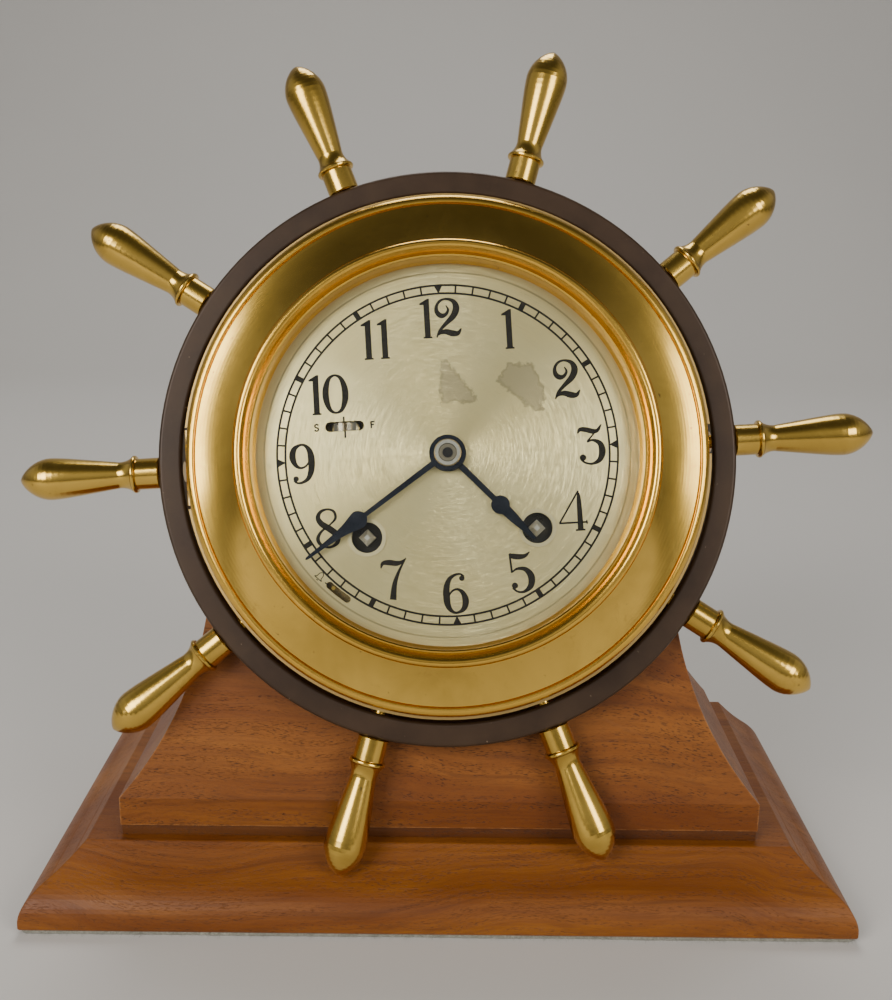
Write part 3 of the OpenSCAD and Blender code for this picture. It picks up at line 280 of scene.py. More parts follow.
pad = felt_slab()
felt = piece("felt", [(pad, closed(*pad.shape[:2]))], "stand", felt_finish)
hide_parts("felt_pad")


def loose_fibres(count=2600, root=0.9985, thickness=0.00004):
    """Thin three-sided hairs along the pad's rim. Each starts just inside it, curves to one
    side and droops with the square of the way out, and thins towards its tip."""
    dice = np.random.default_rng(8)
    way = dice.uniform(0, 4, count)
    half, at = (high - low)[:2] / 2, (high + low)[:2] / 2
    along = (way % 1) * 2 - 1
    edge = way.astype(int)
    sign = np.where(edge % 2 == 0, 1, -1)
    foot = np.where((edge < 2)[:, None], np.stack([along * half[0], sign * half[1]], 1),
                    np.stack([sign * half[0], along * half[1]], 1)) * root
    away = np.where((edge < 2)[:, None], np.stack([0 * sign, sign], 1), np.stack([sign, 0 * sign], 1))
    length = dice.uniform(0.0003, 0.0009, count)
    slant = dice.normal(0, 0.5, (count, 2)).clip(-1, 1)
    step = np.linspace(0, 1, 4)[None, :, None]
    flat = foot[:, None] + (away[:, None] + slant[:, None] * step) * length[:, None, None] * step
    base = dice.uniform(low[2] + 0.0003, high[2] - 0.0002, count)
    tall = base[:, None] - (base - low[2] - 0.0001)[:, None] * 0.8 * step[..., 0] ** 2
    spine = np.concatenate([flat + at, tall[..., None]], -1)
    turn = np.arange(3) * 2 * math.pi / 3
    thin = thickness * (1 - 0.6 * step)
    side_way = np.stack([-away[:, 1], away[:, 0], 0 * sign], 1)[:, None, None, :]
    ring = (np.cos(turn)[None, None, :, None] * side_way
            + np.sin(turn)[None, None, :, None] * np.array([0, 0, 1.0])) * thin[..., None]
    return spine[:, :, None, :] + ring


hairs = loose_fibres()
fuzz = piece("felt_fibres", [(hair_points, closed(4, 3)) for hair_points in hairs], "stand",
             felt_finish)


# ---- Base board ----------------------------------------------------------------------
# Solid mahogany board with an ogee worked on the front and both ends, stained red-brown
# and lacquered. The edges are rubbed pale with handling.
nodes = frame["nodes"]


def dress(finish, *names):
    """Gives CAD nodes their finish."""
    for name in names:
        nodes[name].data.materials.clear()
        nodes[name].data.materials.append(finish)


def mahogany(name, lift, shade_height=0.0, pores=0.72):
    """Grain runs from end to end: long soft figure, fine fibre, and short dark open pores.
    Lift shifts the grain, so that two boards never match. Below the height given third, in
    metres, the wood is darkened with painted shade, and its edges there are not rubbed pale.
    Pores says how much the open pores show."""
    wood = Finish(name)
    at = wood.vector("ADD", wood.place(), (0.03 * lift, 0.4 * lift, 0.7 * lift))
    warp = wood.noise(at, 9.0, 2)
    bent = wood.vector("ADD", at, wood.vector("SCALE", wood.node(
        "ShaderNodeCombineXYZ", None, 0.0, warp, warp), None, 0.035))
    figure = wood.noise(wood.vector("MULTIPLY", bent, (7, 55, 75)), 1.0, 4, 0.6, 0.5)
    band = wood.noise(wood.vector("MULTIPLY", bent, (3, 20, 26)), 1.0, 2)
    fibre = wood.noise(wood.vector("MULTIPLY", bent, (70, 1100, 1100)), 1.0, 3, 0.65)
    pore = wood.noise(wood.vector("MULTIPLY", bent, (620, 4200, 4200)), 1.0, 1, 0.4)
    stripe = wood.noise(wood.vector("MULTIPLY", bent, (26, 420, 420)), 1.0, 2, 0.5)
    streak = wood.noise(wood.vector("MULTIPLY", bent, (16, 520, 520)), 1.0, 3, 0.6)
    open_pore = pore.rise(0.555, 0.66) * (0.25 + stripe.rise(0.42, 0.60) * 0.75)
    height = wood.node("ShaderNodeSeparateXYZ", None, wood.place(), out="Z")
    # Painted shade: 1 below the given height, at the plinth's rebate, and 0 above it.
    painted_shade = height.rise(shade_height + 0.0001, shade_height - 0.0001)
    handled = 0.25 + wood.noise(at, 260, 3).rise(0.38, 0.62) * 0.75
    rubbed = wood.arris(0.0009).rise(0.02, 0.14) * handled
    colour = wood.blend(figure.rise(0.3, 0.72), (0.185, 0.052, 0.004), (0.315, 0.110, 0.014))
    colour = wood.blend(band.rise(0.35, 0.7) * 0.6, colour, (0.13, 0.030, 0.003))
    colour = wood.blend(fibre.rise(0.25, 0.75) * 0.35, colour, (0.11, 0.026, 0.003))
    colour = wood.blend(streak.rise(0.50, 0.70) * 0.36, colour, (0.075, 0.020, 0.004))
    colour = wood.blend(open_pore * pores, colour, (0.042, 0.013, 0.004))
    colour = wood.blend(rubbed * (1.0 - painted_shade) * 0.55, colour, (0.58, 0.27, 0.09))
    # Painted shade: dark brown laid over the wood below that height.
    colour = wood.blend(painted_shade * 0.6, colour, (0.055, 0.018, 0.006))
    worn = wood.noise(at, 45, 3)
    return wood.surface(
        Base_Color=colour, Roughness=0.36 + worn * 0.16 + open_pore * 0.15,
        Specular_IOR_Level=0.3, Coat_Weight=0.08, Coat_Roughness=0.25,
        Normal=wood.bump(fibre * 0.25 - open_pore, 0.00012, 0.5))


dress(mahogany("mahogany_board", 1.0, pores=0.48), "base_board")


def ease(node, width, segments=2):
    """Joins a node's loose triangles and takes its sharp arrises off, as sandpaper does."""
    weld = nodes[node].modifiers.new("joined", "WELD")
    weld.merge_threshold = 2e-6
    arris = nodes[node].modifiers.new("eased", "BEVEL")
    arris.width, arris.segments, arris.limit_method = width, segments, "ANGLE"
    arris.angle_limit, arris.harden_normals = math.radians(32), False
    arris.use_clamp_overlap = True


ease("base_board", 0.0005)

# ---- Plinth --------------------------------------------------------------------------
# A second mahogany block with a square band, coved ends and a sloping face, bored across
# to cradle the case, held by four screws from below and by two to the case. The low rebate
# round its foot is darkened with painted shade.
rebate = 0.0034
# Painted shade darkens the wood up to the top of the rebate.
dress(mahogany("mahogany_plinth", 2.3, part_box("plinth")[0][2] + rebate), "plinth")
ease("plinth", 0.0005)


# ---- Fixing screws ---------------------------------------------------------------------
# Four plain wood screws of turned steel, driven up through the board from below, hold the
# plinth down.
def turned_metal(name, pale, deep, rough, grain=2600.0, depth=0.000006, mottle=90):
    """Bare metal with faint mottling in two tones and fine drawn lines, which are shallow
    grooves and catch the light."""
    metal = Finish(name)
    at = metal.place()
    cloud = metal.noise(at, mottle, 3, 0.6)
    fine = metal.noise(metal.vector("MULTIPLY", at, (1.0, 0.16, 1.0)), grain, 2, 0.5)
    return metal.surface(
        Base_Color=metal.blend(cloud.rise(0.3, 0.7), pale, deep), Metallic=1.0,
        Roughness=rough + cloud * 0.1 + fine * 0.08 - 0.08,
        Normal=metal.bump(fine, depth, 0.4))


steel = turned_metal("turned_steel", (0.56, 0.56, 0.57), (0.42, 0.42, 0.43), 0.28)
dress(steel, "plinth_screws")

# ---- Wheel ring ------------------------------------------------------------------------
# Bronze ring turned and chemically browned, then waxed: nearly black and satin. Its
# corners are painted paler and slightly olive, as a painted edge highlight.
ring_finish = Finish("browned_bronze")
at = ring_finish.place()
cloud = ring_finish.noise(at, 60, 4, 0.6)
dust = ring_finish.noise(at, 700, 2, 0.5)
hairline = ring_finish.noise(ring_finish.vector("MULTIPLY", at, (900, 900, 60)), 1.0, 2)
edge = ring_finish.arris(0.0011)
tone = ring_finish.blend(cloud.rise(0.3, 0.7), (0.034, 0.0165, 0.0070), (0.052, 0.027, 0.0120))
# Painted highlight: the ring's corners are painted paler and slightly olive.
tone = ring_finish.blend(edge.rise(0.02, 0.12) * 0.5, tone, (0.12, 0.095, 0.05))
tone = ring_finish.blend(dust.rise(0.74, 0.80) * 0.7, tone, (0.35, 0.25, 0.16))
dress(ring_finish.surface(
    Base_Color=tone, Metallic=0.2, Roughness=0.36 + cloud * 0.14, Specular_IOR_Level=0.35,
    Coat_Weight=0.1, Coat_Roughness=0.35,
    Normal=ring_finish.bump(hairline * 0.5 + dust * 0.5, 0.00003, 0.5)), "wheel_ring")

# ---- Spindles --------------------------------------------------------------------------
# Ten turned brass handles, each with a stem through the ring into the case, polished and
# lacquered. The lacquer has gone brown in specks and at the fillets.

# The clock leans back in its cradle and is turned a few degrees. Its middle, its axis and
# the line through the two winding squares give its own right, up and outwards.
joint = {j["name"]: j for j in frame["joints"]}
middle = np.array(joint["minute_turn"]["pos_m"], float)
outward = np.array(joint["minute_turn"]["axis"], float)
right = np.array(joint["time_winding_turn"]["pos_m"], float) - np.array(
    joint["strike_winding_turn"]["pos_m"], float)
right /= np.linalg.norm(right)
upward = np.cross(outward, right)


def reach(node):
    """Lowest and highest corner of a node along the clock's own directions, in millimetres."""
    points = np.empty(len(nodes[node].data.vertices) * 3, np.float32)
    nodes[node].data.vertices.foreach_get("co", points)
    own = (points.reshape(-1, 3) - middle) @ np.stack([right, upward, outward], 1) * 1000
    return own.min(0), own.max(0)


def from_axis(finish):
    """Wires with a point's place to the right of the clock's axis and up from it, its distance
    from the axis, all three in millimetres, and its angle round the axis in radians."""
    own = finish.vector("SUBTRACT", finish.place(), tuple(middle))
    across = finish.vector("DOT_PRODUCT", own, tuple(right)) * 1000
    along = finish.vector("DOT_PRODUCT", own, tuple(upward)) * 1000
    turn = finish.node("ShaderNodeMath", {"operation": "ARCTAN2"}, along, across)
    return across, along, (across * across + along * along) ** 0.5, turn


def lathe_marks(finish, radius, turn, close, long, detail, rough):
    """Noise drawn out into arcs: close is in cells a millimetre of radius, long in cells a
    radian of the way round."""
    return finish.noise(finish.node("ShaderNodeCombineXYZ", None, radius * close, turn * long, 0.0),
                        1.0, detail, rough)


def polished_brass(name, spin=False):
    """Polished brass with swirl marks, tarnish specks and a mottled tone. With spin the marks
    run round the clock's axis, as they do on a piece polished in the lathe, and the turned beads
    keep more of their gold lacquer than the broad band between them."""
    brass = Finish(name)
    at = brass.place()
    cloud = brass.noise(at, 42, 4, 0.62, 0.4)
    speck = brass.noise(at, 620, 3, 0.55)
    brown = brass.noise(at, 120, 4, 0.7, 0.8)
    if spin:
        radius, turn = from_axis(brass)[2:]
        mark = lathe_marks(brass, radius, turn, 5.2, 5.0, 3, 0.6)
        wave = lathe_marks(brass, radius, turn, 0.26, 3.0, 2, 0.5)
        lowest, highest = reach("bezel")
        rim = float(highest[1] - lowest[1]) / 2
        band_outside, band_inside = rim - 3.4, rim - 14.4
        beads = (radius.rise(band_outside, band_outside + 0.4)
                 + radius.rise(band_inside, band_inside - 0.6))
    else:
        mark = brass.noise(brass.vector("MULTIPLY", at, (2.4, 2.4, 1.0)), 1100, 3, 0.6)
        wave = brass.noise(at, 130, 2, 0.5)
    tone = brass.blend(cloud.rise(0.3, 0.72), (0.73, 0.470, 0.090), (0.56, 0.355, 0.062))
    if spin:
        tone = brass.blend(beads * 0.5, tone, (0.90, 0.51, 0.065))
    tone = brass.blend(brown.rise(0.60, 0.76) * 0.35, tone, (0.30, 0.16, 0.03))
    tone = brass.blend(speck.rise(0.70, 0.76) * 0.7, tone, (0.16, 0.09, 0.03))
    return brass.surface(
        Base_Color=tone, Metallic=1.0,
        Roughness=0.12 + cloud * 0.07 + mark * 0.10 + brown.rise(0.5, 0.8) * 0.05,
        Coat_Weight=0.25, Coat_Roughness=0.12,
        Normal=brass.bump(mark * 0.3 + wave * 4.0 - speck.rise(0.70, 0.76), 0.000012, 0.6))


handle_brass = polished_brass("handle_brass")
dress(handle_brass, *["spindle_%02d" % number for number in range(1, 11)])

# ---- Case ------------------------------------------------------------------------------
# Spun brass drum with a turned front flange and a pressed back cover, satin finished and
# gone a little brown. The hinge leaves and the catch are riveted to the flange. Two screws
# up through the plinth hold the drum, and three small ones its cover.
drum_brass = turned_metal("satin_brass", (0.60, 0.41, 0.155), (0.54, 0.365, 0.135), 0.34,
                          grain=1500.0, depth=0.000012, mottle=70)
dress(drum_brass, "case_drum", "back_cover", "hinge_leaves", "catch_spring", "case_screws")
dress(handle_brass, "back_screws")

# ---- Bezel -----------------------------------------------------------------------------
# Spun brass bezel with an outer bead, a broad hollow band and a moulded lip over the
# glass; it swings on the hinge at nine o'clock.
lathe_brass = polished_brass("lathe_polished_brass", spin=True)
dress(lathe_brass, "bezel")

# ---- Sight ring and glass --------------------------------------------------------------
# A sprung cone of the same brass holds the flat glass against the bezel's lip. The glass is
# thin and clean, and mirrors a little more of the room where it is smeared.
dress(lathe_brass, "sight_ring")
pane = Finish("clear_glass")
smear = pane.noise(pane.place(), 30, 3, 0.6)
share = pane.node("ShaderNodeFresnel", None, 1.45) * 0.5 + smear.rise(0.45, 0.8) * 0.010
clear = pane.node("ShaderNodeBsdfTransparent", None, (0.97, 0.985, 0.975))
shine = pane.node("ShaderNodeBsdfPrincipled", None, Metallic=1.0, Roughness=0.03 + smear * 0.03,
                  Base_Color=pane.blend(smear, (0.80, 0.82, 0.80), (0.86, 0.87, 0.85)))
pane.node("ShaderNodeOutputMaterial", None,
          pane.node("ShaderNodeMixShader", None, share, clear, shine))
dress(pane.owner, "glass")

# ---- Dial ------------------------------------------------------------------------------
# Brass disc, silvered and grained in circles from the middle, under a clear lacquer that
# has lifted and gone grey in two patches above the hands. A thin ring of painted shadow
# darkens it at the foot of the rim's low step. A pale champagne tint.
silver = Finish("silvered_dial")
across, along, radius, turn = from_axis(silver)
flat_place = silver.node("ShaderNodeCombineXYZ", None, across, along, 0.0)
grain = lathe_marks(silver, radius, turn, 5.5, 1.6, 3, 0.7)
cloud = silver.noise(flat_place, 0.035, 3)


def patch(corners, ragged=4.4):
    """A patch with straight sides, given counter-clockwise in millimetres, whose edge wanders
    with noise. The least of the distances to its sides is above zero inside it."""
    stray = silver.noise(flat_place, 0.5, 4, 0.65)
    least = None
    for (x0, y0), (x1, y1) in zip(corners, corners[1:] + corners[:1]):
        run = math.hypot(x1 - x0, y1 - y0)
        inside = (along - y0) * ((x1 - x0) / run) - (across - x0) * ((y1 - y0) / run)
        least = inside if least is None else least.math("MINIMUM", inside)
    return least + (stray - 0.5) * ragged


lifted = [patch([(-1.5, 14.9), (9.1, 14.7), (9.7, 16.5), (1.4, 27.6), (-0.6, 27.6), (-1.4, 20.9)]),
          patch([(26.3, 10.8), (29.1, 11.4), (29.7, 16.9), (26.6, 25.4), (19.4, 26.0), (15.4, 20.6)])]
tone = silver.blend(cloud.rise(0.35, 0.65), (0.93, 0.755, 0.365), (0.97, 0.81, 0.42))
tone = silver.blend(grain.rise(0.3, 0.75) * 0.18, tone, (0.56, 0.49, 0.29))
for least in lifted:
    rim = 1.0 - (least - 0.5).math("ABSOLUTE").rise(0.0, 0.7)
    tone = silver.blend(least.rise(-0.3, 0.9) * 0.7, tone, (0.50, 0.41, 0.24))
    tone = silver.blend(rim * 0.4, tone, (0.26, 0.21, 0.11))
foxed = silver.noise(flat_place, 0.5, 3, 0.6).rise(0.70, 0.78)
tone = silver.blend(foxed * 0.35, tone, (0.38, 0.30, 0.18))
# Painted shadow: a thin dark ring at the foot of the dial's low step.
step_radius = 53.8
foot = 1.0 - (radius - step_radius).math("ABSOLUTE").rise(0.05, 0.38)
tone = silver.blend(foot * 0.6, tone, (0.30, 0.22, 0.11))
dress(silver.surface(
    Base_Color=tone, Metallic=0.88, Roughness=0.25 + grain * 0.08, Coat_Weight=0.05,
    Coat_Roughness=0.3, Normal=silver.bump(grain, 0.00006, 1.0)), "dial")

# ---- Winding grommets --------------------------------------------------------------------
# Pressed brass rings spun into the two winding holes, silvered with the dial and paler
# than it is.
dress(turned_metal("silvered_ring", (0.98, 0.84, 0.50), (0.88, 0.74, 0.42), 0.34, grain=4000.0),
      "winding_grommets")

# ---- Dial printing ---------------------------------------------------------------------
# Black enamel ink: a minute track of two circles with sixty divisions, a block at each
# hour and a wedge at each quarter, upright numerals, the regulator's S and F with its
# index lines, and a small outline of a bell by the striking lever.
rim_step = 0.2
face = reach("dial")[1][2] - rim_step
ink_foot, ink_top = face - 0.01, face + 0.045


def on_clock(x, y, z):
    """World points, in metres, of millimetres to the right, up the dial and out of it."""
    x, y, z = np.broadcast_arrays(x, y, z)
    return middle + 0.001 * (x[..., None] * right + y[..., None] * upward + z[..., None] * outward)


def filled(outline):
    """Prism of ink over a closed outline, counter-clockwise."""
    outline = np.asarray(outline, float)
    rings = [on_clock(outline[:, 0], outline[:, 1], z) for z in (ink_foot, ink_top)]
    return np.stack(rings), closed(2, len(outline))


def pen(points, widths, loop=False, steps=9, thinnest=0.16):
    """A pen stroke through its points, with a width at each and a thin square section carried
    along it. Between two points run cubics whose slope at each is half the way from the
    point before it to the point after it."""
    known = np.column_stack([points, widths]).astype(float)
    line = known
    if loop or len(known) > 2:
        before, after = (known[-1:], known[:2]) if loop else (
            2 * known[:1] - known[1:2], 2 * known[-1:] - known[-2:-1])
        ends = np.concatenate([before, known, after])
        t = np.arange(steps)[:, None] / steps
        parts = [0.5 * (2 * b + (c - a) * t + (2 * a - 5 * b + 4 * c - d) * t ** 2
                        + (3 * b - a - 3 * c + d) * t ** 3)
                 for a, b, c, d in zip(ends, ends[1:], ends[2:], ends[3:])]
        line = np.concatenate(parts + ([] if loop else [known[-1:]]))
    way = (np.roll(line, -1, 0) - np.roll(line, 1, 0))[:, :2] if loop else np.gradient(
        line[:, :2], axis=0)
    way /= np.linalg.norm(way, axis=1, keepdims=True)
    off = np.stack([-way[:, 1], way[:, 0]], 1) * np.maximum(line[:, 2:], thinnest) / 2
    corners = [(off, ink_foot), (-off, ink_foot), (-off, ink_top), (off, ink_top)]
    ring = np.stack([on_clock(*(line[:, :2] + push).T, z) for push, z in corners], 1)
    return ring, closed(len(line), 4, loop)


def ball(x, y, r, sides=28):
    """Round dot at the end of a numeral's curve."""
    turn = np.arange(sides) / sides * 2 * math.pi
    return filled(np.stack([x + r * np.cos(turn), y + r * np.sin(turn)], 1))


def circle(r, width, sides=240):
    """Thin circle round the dial's middle, with a square section."""
    turn = np.arange(sides) / sides * 2 * math.pi
    inside, outside = r - width / 2, r + width / 2
    corners = [(inside, ink_foot), (outside, ink_foot), (outside, ink_top), (inside, ink_top)]
    ring = np.stack([on_clock(far * np.cos(turn), far * np.sin(turn), z) for far, z in corners], 1)
    return ring, closed(sides, 4, True)


def moved(shape, dx, dy, turned=0.0):
    """Pen points turned about their own middle, then moved."""
    c, s = math.cos(turned), math.sin(turned)
    return [(x * c - y * s + dx, x * s + y * c + dy) for x, y in shape]


def numeral(figure, x, y, tall=11.8):
    """Ink of one figure. Its pen points (across, up, width) are given for a figure 11.7 high,
    about its own middle; the nine is the six turned half round."""
    grow = tall / 11.7
    if figure == "1":
        stem = [(-0.85, -5.85), (0.85, -5.85), (0.85, 4.6), (0.9, 5.85), (0.25, 5.85), (-0.85, 4.7)]
        serif = [(-1.35, -5.85), (1.35, -5.85), (1.25, -5.35), (-1.25, -5.35)]
        flag = [(-0.75, 4.1), (0.2, 5.2), (0.3, 5.85), (-2.05, 4.55), (-2.0, 4.1)]
        return [filled([(x + a * grow, y + b * grow) for a, b in shape])
                for shape in (stem, serif, flag)]
    strokes = {
        "0": [[(0, 5.5, 0.65), (-1.75, 4.5, 1.15), (-2.75, 1.6, 1.8), (-2.75, -1.6, 1.8),
               (-1.75, -4.5, 1.15), (0, -5.5, 0.65), (1.75, -4.5, 1.15), (2.75, -1.6, 1.8),
               (2.75, 1.6, 1.8), (1.75, 4.5, 1.15)]],
        "2": [[(-0.4, 3.6, 0.3), (0.15, 2.3, 0.7), (-0.55, 1.0, 1.0), (-1.9, 0.6, 1.5),
               (-3.05, 1.6, 1.4), (-3.2, 3.4, 0.95), (-2.1, 5.0, 0.75), (-0.2, 5.5, 0.7),
               (1.8, 4.7, 1.3), (2.55, 2.7, 1.95), (1.6, 0.4, 1.8), (-0.7, -1.8, 1.2),
               (-2.6, -3.8, 0.85), (-3.55, -5.75, 0.35)],
              [(-3.5, -5.4, 0.3), (-2.5, -4.5, 0.9), (-0.9, -4.15, 1.55), (1.1, -4.75, 1.85),
               (2.7, -4.75, 1.3), (3.75, -3.4, 0.3)]],
        "3": [[(-3.75, 3.5, 0.3), (-2.95, 4.6, 1.2), (-1.2, 4.5, 1.5), (0.7, 3.95, 1.5),
               (2.2, 4.2, 1.0), (3.35, 5.85, 0.3)],
              [(3.15, 5.6, 0.45), (-1.0, 1.05, 0.5)],
              [(-1.1, 0.9, 0.5), (0.6, 1.35, 0.75), (2.6, 0.35, 1.5), (3.2, -2.0, 2.0),
               (2.3, -4.4, 1.5), (0.2, -5.5, 0.75), (-2.0, -5.1, 0.6), (-3.15, -3.9, 0.8)]],
        "4": [[(1.75, 5.85, 0.35), (1.9, 3.0, 1.25), (1.95, -5.8, 1.7)],
              [(0.5, -5.6, 0.5), (3.3, -5.6, 0.5)],
              [(-4.2, -3.4, 0.55), (3.9, -3.4, 0.55)], [(3.8, -2.8, 0.3), (3.95, -3.9, 0.5)],
              [(1.7, 5.6, 0.5), (-4.1, -3.4, 0.5)]],
        "5": [[(-3.3, 5.7, 0.5), (-2.6, 5.0, 1.5), (-0.6, 4.65, 1.6), (1.2, 4.85, 1.1),
               (2.6, 5.9, 0.3)],
              [(-3.25, 5.6, 0.6), (-2.85, 0.1, 0.6)],
              [(-2.95, 0.2, 0.4), (-1.2, 1.2, 0.75), (1.2, 0.85, 1.4), (2.7, -1.3, 2.0),
               (2.35, -3.9, 1.7), (0.4, -5.5, 0.8), (-1.6, -5.35, 0.6), (-2.85, -4.2, 0.7)]],
        "6": [[(2.5, 4.7, 0.8), (1.6, 5.5, 0.6), (0.1, 5.4, 0.8), (-1.6, 4.3, 1.25),
               (-2.6, 1.9, 1.8), (-2.75, -1.3, 2.0), (-2.35, -3.7, 1.6), (-1.1, -5.3, 0.9),
               (0.4, -5.5, 0.75), (2.1, -4.4, 1.5), (2.7, -2.2, 1.9), (2.05, 0.0, 1.35),
               (0.6, 1.15, 0.75), (-1.0, 0.75, 0.6), (-2.3, -0.8, 0.5)]],
        "7": [[(-3.75, 3.4, 0.3), (-3.1, 4.8, 1.1), (-1.3, 4.95, 1.6), (0.9, 4.6, 1.5),
               (2.5, 5.0, 0.9), (3.7, 5.95, 0.3)],
              [(3.45, 5.7, 0.4), (1.5, 2.4, 0.8), (0.0, -1.4, 1.4), (-0.7, -5.85, 1.95)]],
        "8": [[(0.1, 5.5, 0.65), (-1.9, 4.9, 0.95), (-2.75, 3.2, 1.35), (-1.8, 1.4, 1.7),
               (0.6, -0.3, 1.9), (2.6, -2.2, 1.75), (2.4, -4.4, 1.15), (0.2, -5.5, 0.7),
               (-2.2, -4.7, 0.95), (-3.05, -2.9, 1.1), (-2.0, -0.9, 0.75), (0.6, 1.0, 0.5),
               (2.3, 2.8, 0.75), (1.9, 4.8, 0.75)]]}
    balls = {"3": [(-2.55, -3.6, 0.95)], "5": [(-2.2, -3.65, 0.9)], "6": [(1.95, 4.3, 0.8)]}
    turned = math.pi if figure == "9" else 0.0
    figure = "6" if figure == "9" else figure
    drawn = []
    for stroke in strokes[figure]:
        spread = [(a * grow, b * grow) for a, b, _ in stroke]
        drawn.append(pen(moved(spread, x, y, turned), [w * grow for _, _, w in stroke],
                         loop=figure in "08"))
    for a, b, r in balls.get(figure, []):
        (cx, cy), = moved([(a * grow, b * grow)], x, y, turned)
        drawn.append(ball(cx, cy, r * grow))
    return drawn


def round_dial(radius, degrees):
    """Place on the dial at a radius, in degrees clockwise from twelve."""
    turn = math.radians(degrees)
    return np.array([radius * math.sin(turn), radius * math.cos(turn)])


track_out, track_in, track_line = 50.05, 47.6, 0.60
half_tick, half_block, half_wedge = 0.27, 0.78, 1.3
ink_shells = [circle(track_out, track_line), circle(track_in, track_line)]
for minute in range(60):
    out, aside = round_dial(1, 6 * minute), round_dial(1, 6 * minute + 90)
    if minute % 15 == 0:
        ink_shells.append(filled([out * track_out + aside * half_wedge, out * (track_in - 0.1),
                                  out * track_out - aside * half_wedge]))
    else:
        half = half_block if minute % 5 == 0 else half_tick
        ink_shells.append(filled([out * track_in - aside * half, out * track_in + aside * half,
                                  out * track_out + aside * half, out * track_out - aside * half]))
for hour, x, y in ((1, 20.2, 35.85), (2, 36.2, 20.05), (3, 42.2, 0.2), (4, 35.7, -18.9),
                   (5, 19.65, -36.05), (6, 0.1, -41.0), (7, -17.6, -35.9), (8, -36.2, -19.9),
                   (9, -42.8, -0.6), (10, -34.05, 19.45), (11, -19.35, 34.95), (12, 0.3, 40.3)):
    if hour < 10:
        ink_shells += numeral(str(hour), x, y)
    else:
        first, second = {10: (-3.6, 2.1), 11: (-2.1, 2.7), 12: (-4.1, 2.1)}[hour]
        ink_shells += numeral("1", x + first, y) + numeral(str(hour)[1], x + second, y)

# Index lines above and below the regulator's slot, then S and F at its two ends.
slot_x, slot_y = -29.8, 9.8
index_width, letter_width = 0.50, 0.45
letter_s, letter_f = slot_x - 8.2, slot_x + 8.3
for stroke, x, width in (
        ([(-0.1, 1.45), (-0.1, 2.85)], slot_x, index_width),
        ([(0.1, -1.45), (0.1, -3.45)], slot_x, index_width),
        ([(0.55, 0.65), (0.1, 0.98), (-0.5, 0.65), (-0.3, 0.15), (0.35, -0.15), (0.5, -0.65),
          (0.0, -0.98), (-0.6, -0.65)], letter_s, letter_width),
        ([(-0.45, -1.0), (-0.45, 1.0)], letter_f, letter_width),
        ([(-0.58, 0.87), (0.6, 0.87)], letter_f, letter_width),
        ([(-0.45, 0.05), (0.4, 0.05)], letter_f, letter_width)):
    ink_shells.append(pen(moved(stroke, x, slot_y), [width] * len(stroke)))

# Outline, mouth and clapper of the bell, and a dash beside it.
bell_width, dash_width, bell_lean = 0.24, 0.30, math.radians(-45)
bell_place, dash_place = round_dial(51.6, 229.3), round_dial(52.0, 226.2)
for stroke, place, width in (
        ([(-1.3, -1.0), (-0.8, -0.6), (-0.65, 0.5), (0.0, 1.15), (0.65, 0.5), (0.8, -0.6),
          (1.3, -1.0)], bell_place, bell_width),
        ([(-1.35, -1.05), (1.35, -1.05)], bell_place, bell_width),
        ([(-0.3, -1.45), (0.3, -1.45)], bell_place, bell_width),
        ([(-0.5, 0), (0.5, 0)], dash_place, dash_width)):
    ink_shells.append(pen(moved(stroke, *place, bell_lean), [width] * len(stroke)))

ink = Finish("black_enamel")
ink_cloud = ink.noise(ink.place(), 900, 3, 0.6)
enamel = ink.surface(
    Base_Color=ink.blend(ink_cloud.rise(0.35, 0.7), (0.010, 0.007, 0.004), (0.022, 0.016, 0.010)),
    Roughness=0.40 + ink_cloud * 0.15, Specular_IOR_Level=0.2,
    Normal=ink.bump(ink_cloud, 0.00002, 0.3))
piece("dial_printing", ink_shells, "stand", enamel, smooth=False)

# ---- Hands and nut -------------------------------------------------------------------
# Steel hands blued almost black, with the boss of the minute hand riveted on; a turned
# nickel nut holds them. The regulator's wheel behind its slot is nickelled too.
blued = Finish("blued_steel")
at = blued.place()
cloud = blued.noise(at, 170, 4, 0.6)
scuff = blued.noise(blued.vector("MULTIPLY", at, (1, 1, 0.3)), 1500, 2)
dress(blued.surface(
    Base_Color=blued.blend(cloud.rise(0.3, 0.7), (0.012, 0.015, 0.026), (0.028, 0.032, 0.046)),
    Metallic=0.85, Roughness=0.24 + cloud * 0.12 + scuff * 0.08, Coat_Weight=0.2,
    Normal=blued.bump(scuff, 0.00001, 0.4)), "hour_hand", "minute_hand")
dress(turned_metal("nickel", (0.40, 0.36, 0.28), (0.26, 0.23, 0.18), 0.2, grain=4200.0),
      "regulator_wheel")


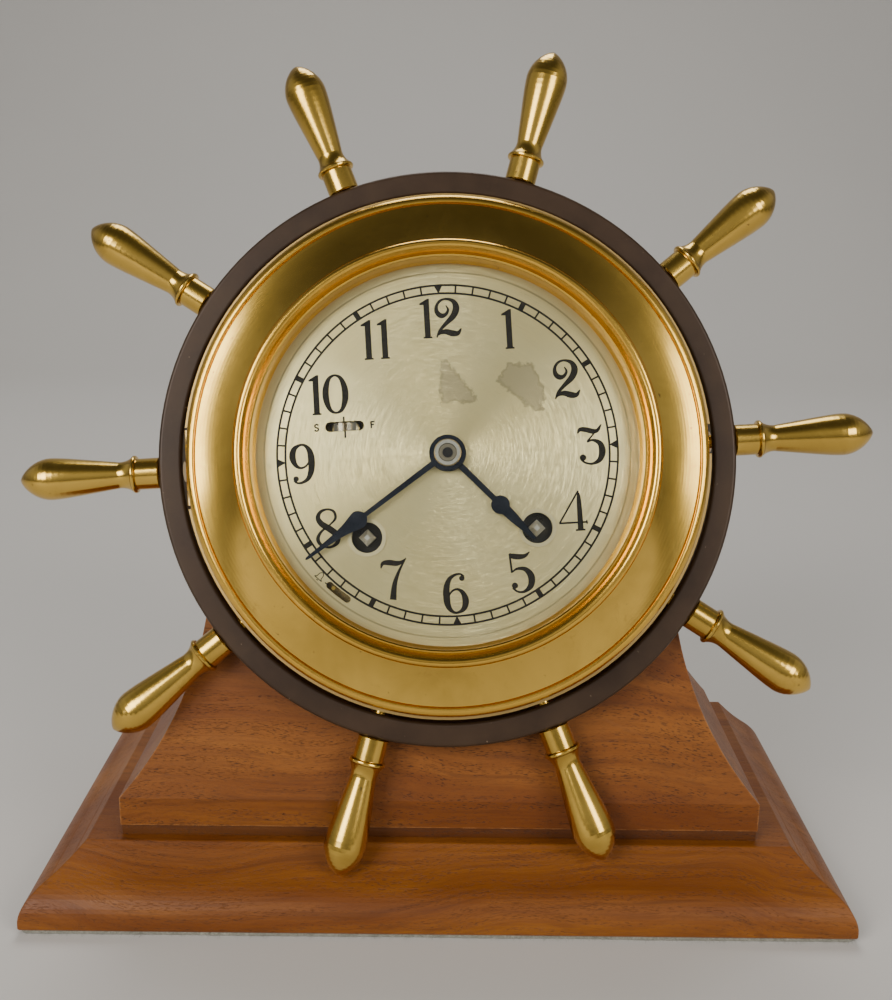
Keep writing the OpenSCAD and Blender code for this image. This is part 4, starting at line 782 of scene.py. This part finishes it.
def two_toned(name, inner, outer, low, high, by_height=False, bare=1.0):
    """Turned metal that changes from the inner to the outer tone between two distances from
    the clock's axis or, by height, between two distances along it, in millimetres. Bare is
    how much of it is clean metal."""
    metal = Finish(name)
    if by_height:
        own = metal.vector("SUBTRACT", metal.place(), tuple(middle))
        far = metal.vector("DOT_PRODUCT", own, tuple(outward)) * 1000
    else:
        far = from_axis(metal)[2]
    cloud = metal.noise(metal.place(), 240, 3, 0.6)
    fine = metal.noise(metal.place(), 3200, 2)
    tone = metal.blend(far.rise(low, high), inner, outer)
    return metal.surface(
        Base_Color=metal.blend(cloud.rise(0.35, 0.75) * 0.3, tone, (0.10, 0.085, 0.06)),
        Metallic=bare, Roughness=0.2 + cloud * 0.12 + fine * 0.06,
        Normal=metal.bump(fine, 0.000006, 0.4))


dress(two_toned("nickel_nut", (0.42, 0.36, 0.26), (0.86, 0.81, 0.70), 2.55, 2.75), "hand_nut")
dress(handle_brass, "silent_lever")

# ---- Movement --------------------------------------------------------------------------
# Rolled brass plates and wheels, steel arbors and springs, held by pillars and screws. The
# centre arbor is blackened at its end. The winding arbors are bright at their squares and
# painted nearly black below them, as painted shade down in the winding holes.
plate_brass = turned_metal("plate_brass", (0.78, 0.57, 0.24), (0.68, 0.48, 0.19), 0.26, grain=2000.0)
dress(plate_brass, "front_plate", "back_plate", "pillars", "time_barrel", "strike_barrel",
      "drive_wheel", "third_wheel", "fourth_wheel", "escape_wheel", "balance_wheel",
      "balance_cock", "minute_wheel", "hour_wheel", "strike_wheel", "strike_fly", "bell_post")
dress(two_toned("centre_arbor", (0.68, 0.48, 0.19), (0.045, 0.045, 0.05), -1.0, 1.0,
                by_height=True), "centre_wheel")
# Painted shade: the winding arbors are nearly black up to 5.5 mm out from the dial's middle, in the
# winding holes, and bright beyond 7 mm.
dress(two_toned("winding_square", (0.10, 0.09, 0.08), (0.80, 0.77, 0.69), 5.5, 7.0,
                by_height=True, bare=0.6), "time_arbor", "strike_arbor")
dress(steel, "time_click", "strike_click", "pallet_fork", "cannon_pinion", "hammer")
dress(turned_metal("tempered_spring", (0.10, 0.12, 0.20), (0.16, 0.16, 0.22), 0.3),
      "time_mainspring", "strike_mainspring", "hairspring", "movement_screws")

# ---- Bell ------------------------------------------------------------------------------
# Turned bell bronze behind the back plate, held by a nut on a post that is riveted in the
# back cover. The hammer strikes its rim.
dress(turned_metal("bell_bronze", (0.74, 0.58, 0.30), (0.62, 0.47, 0.23), 0.2, grain=1800.0), "bell")
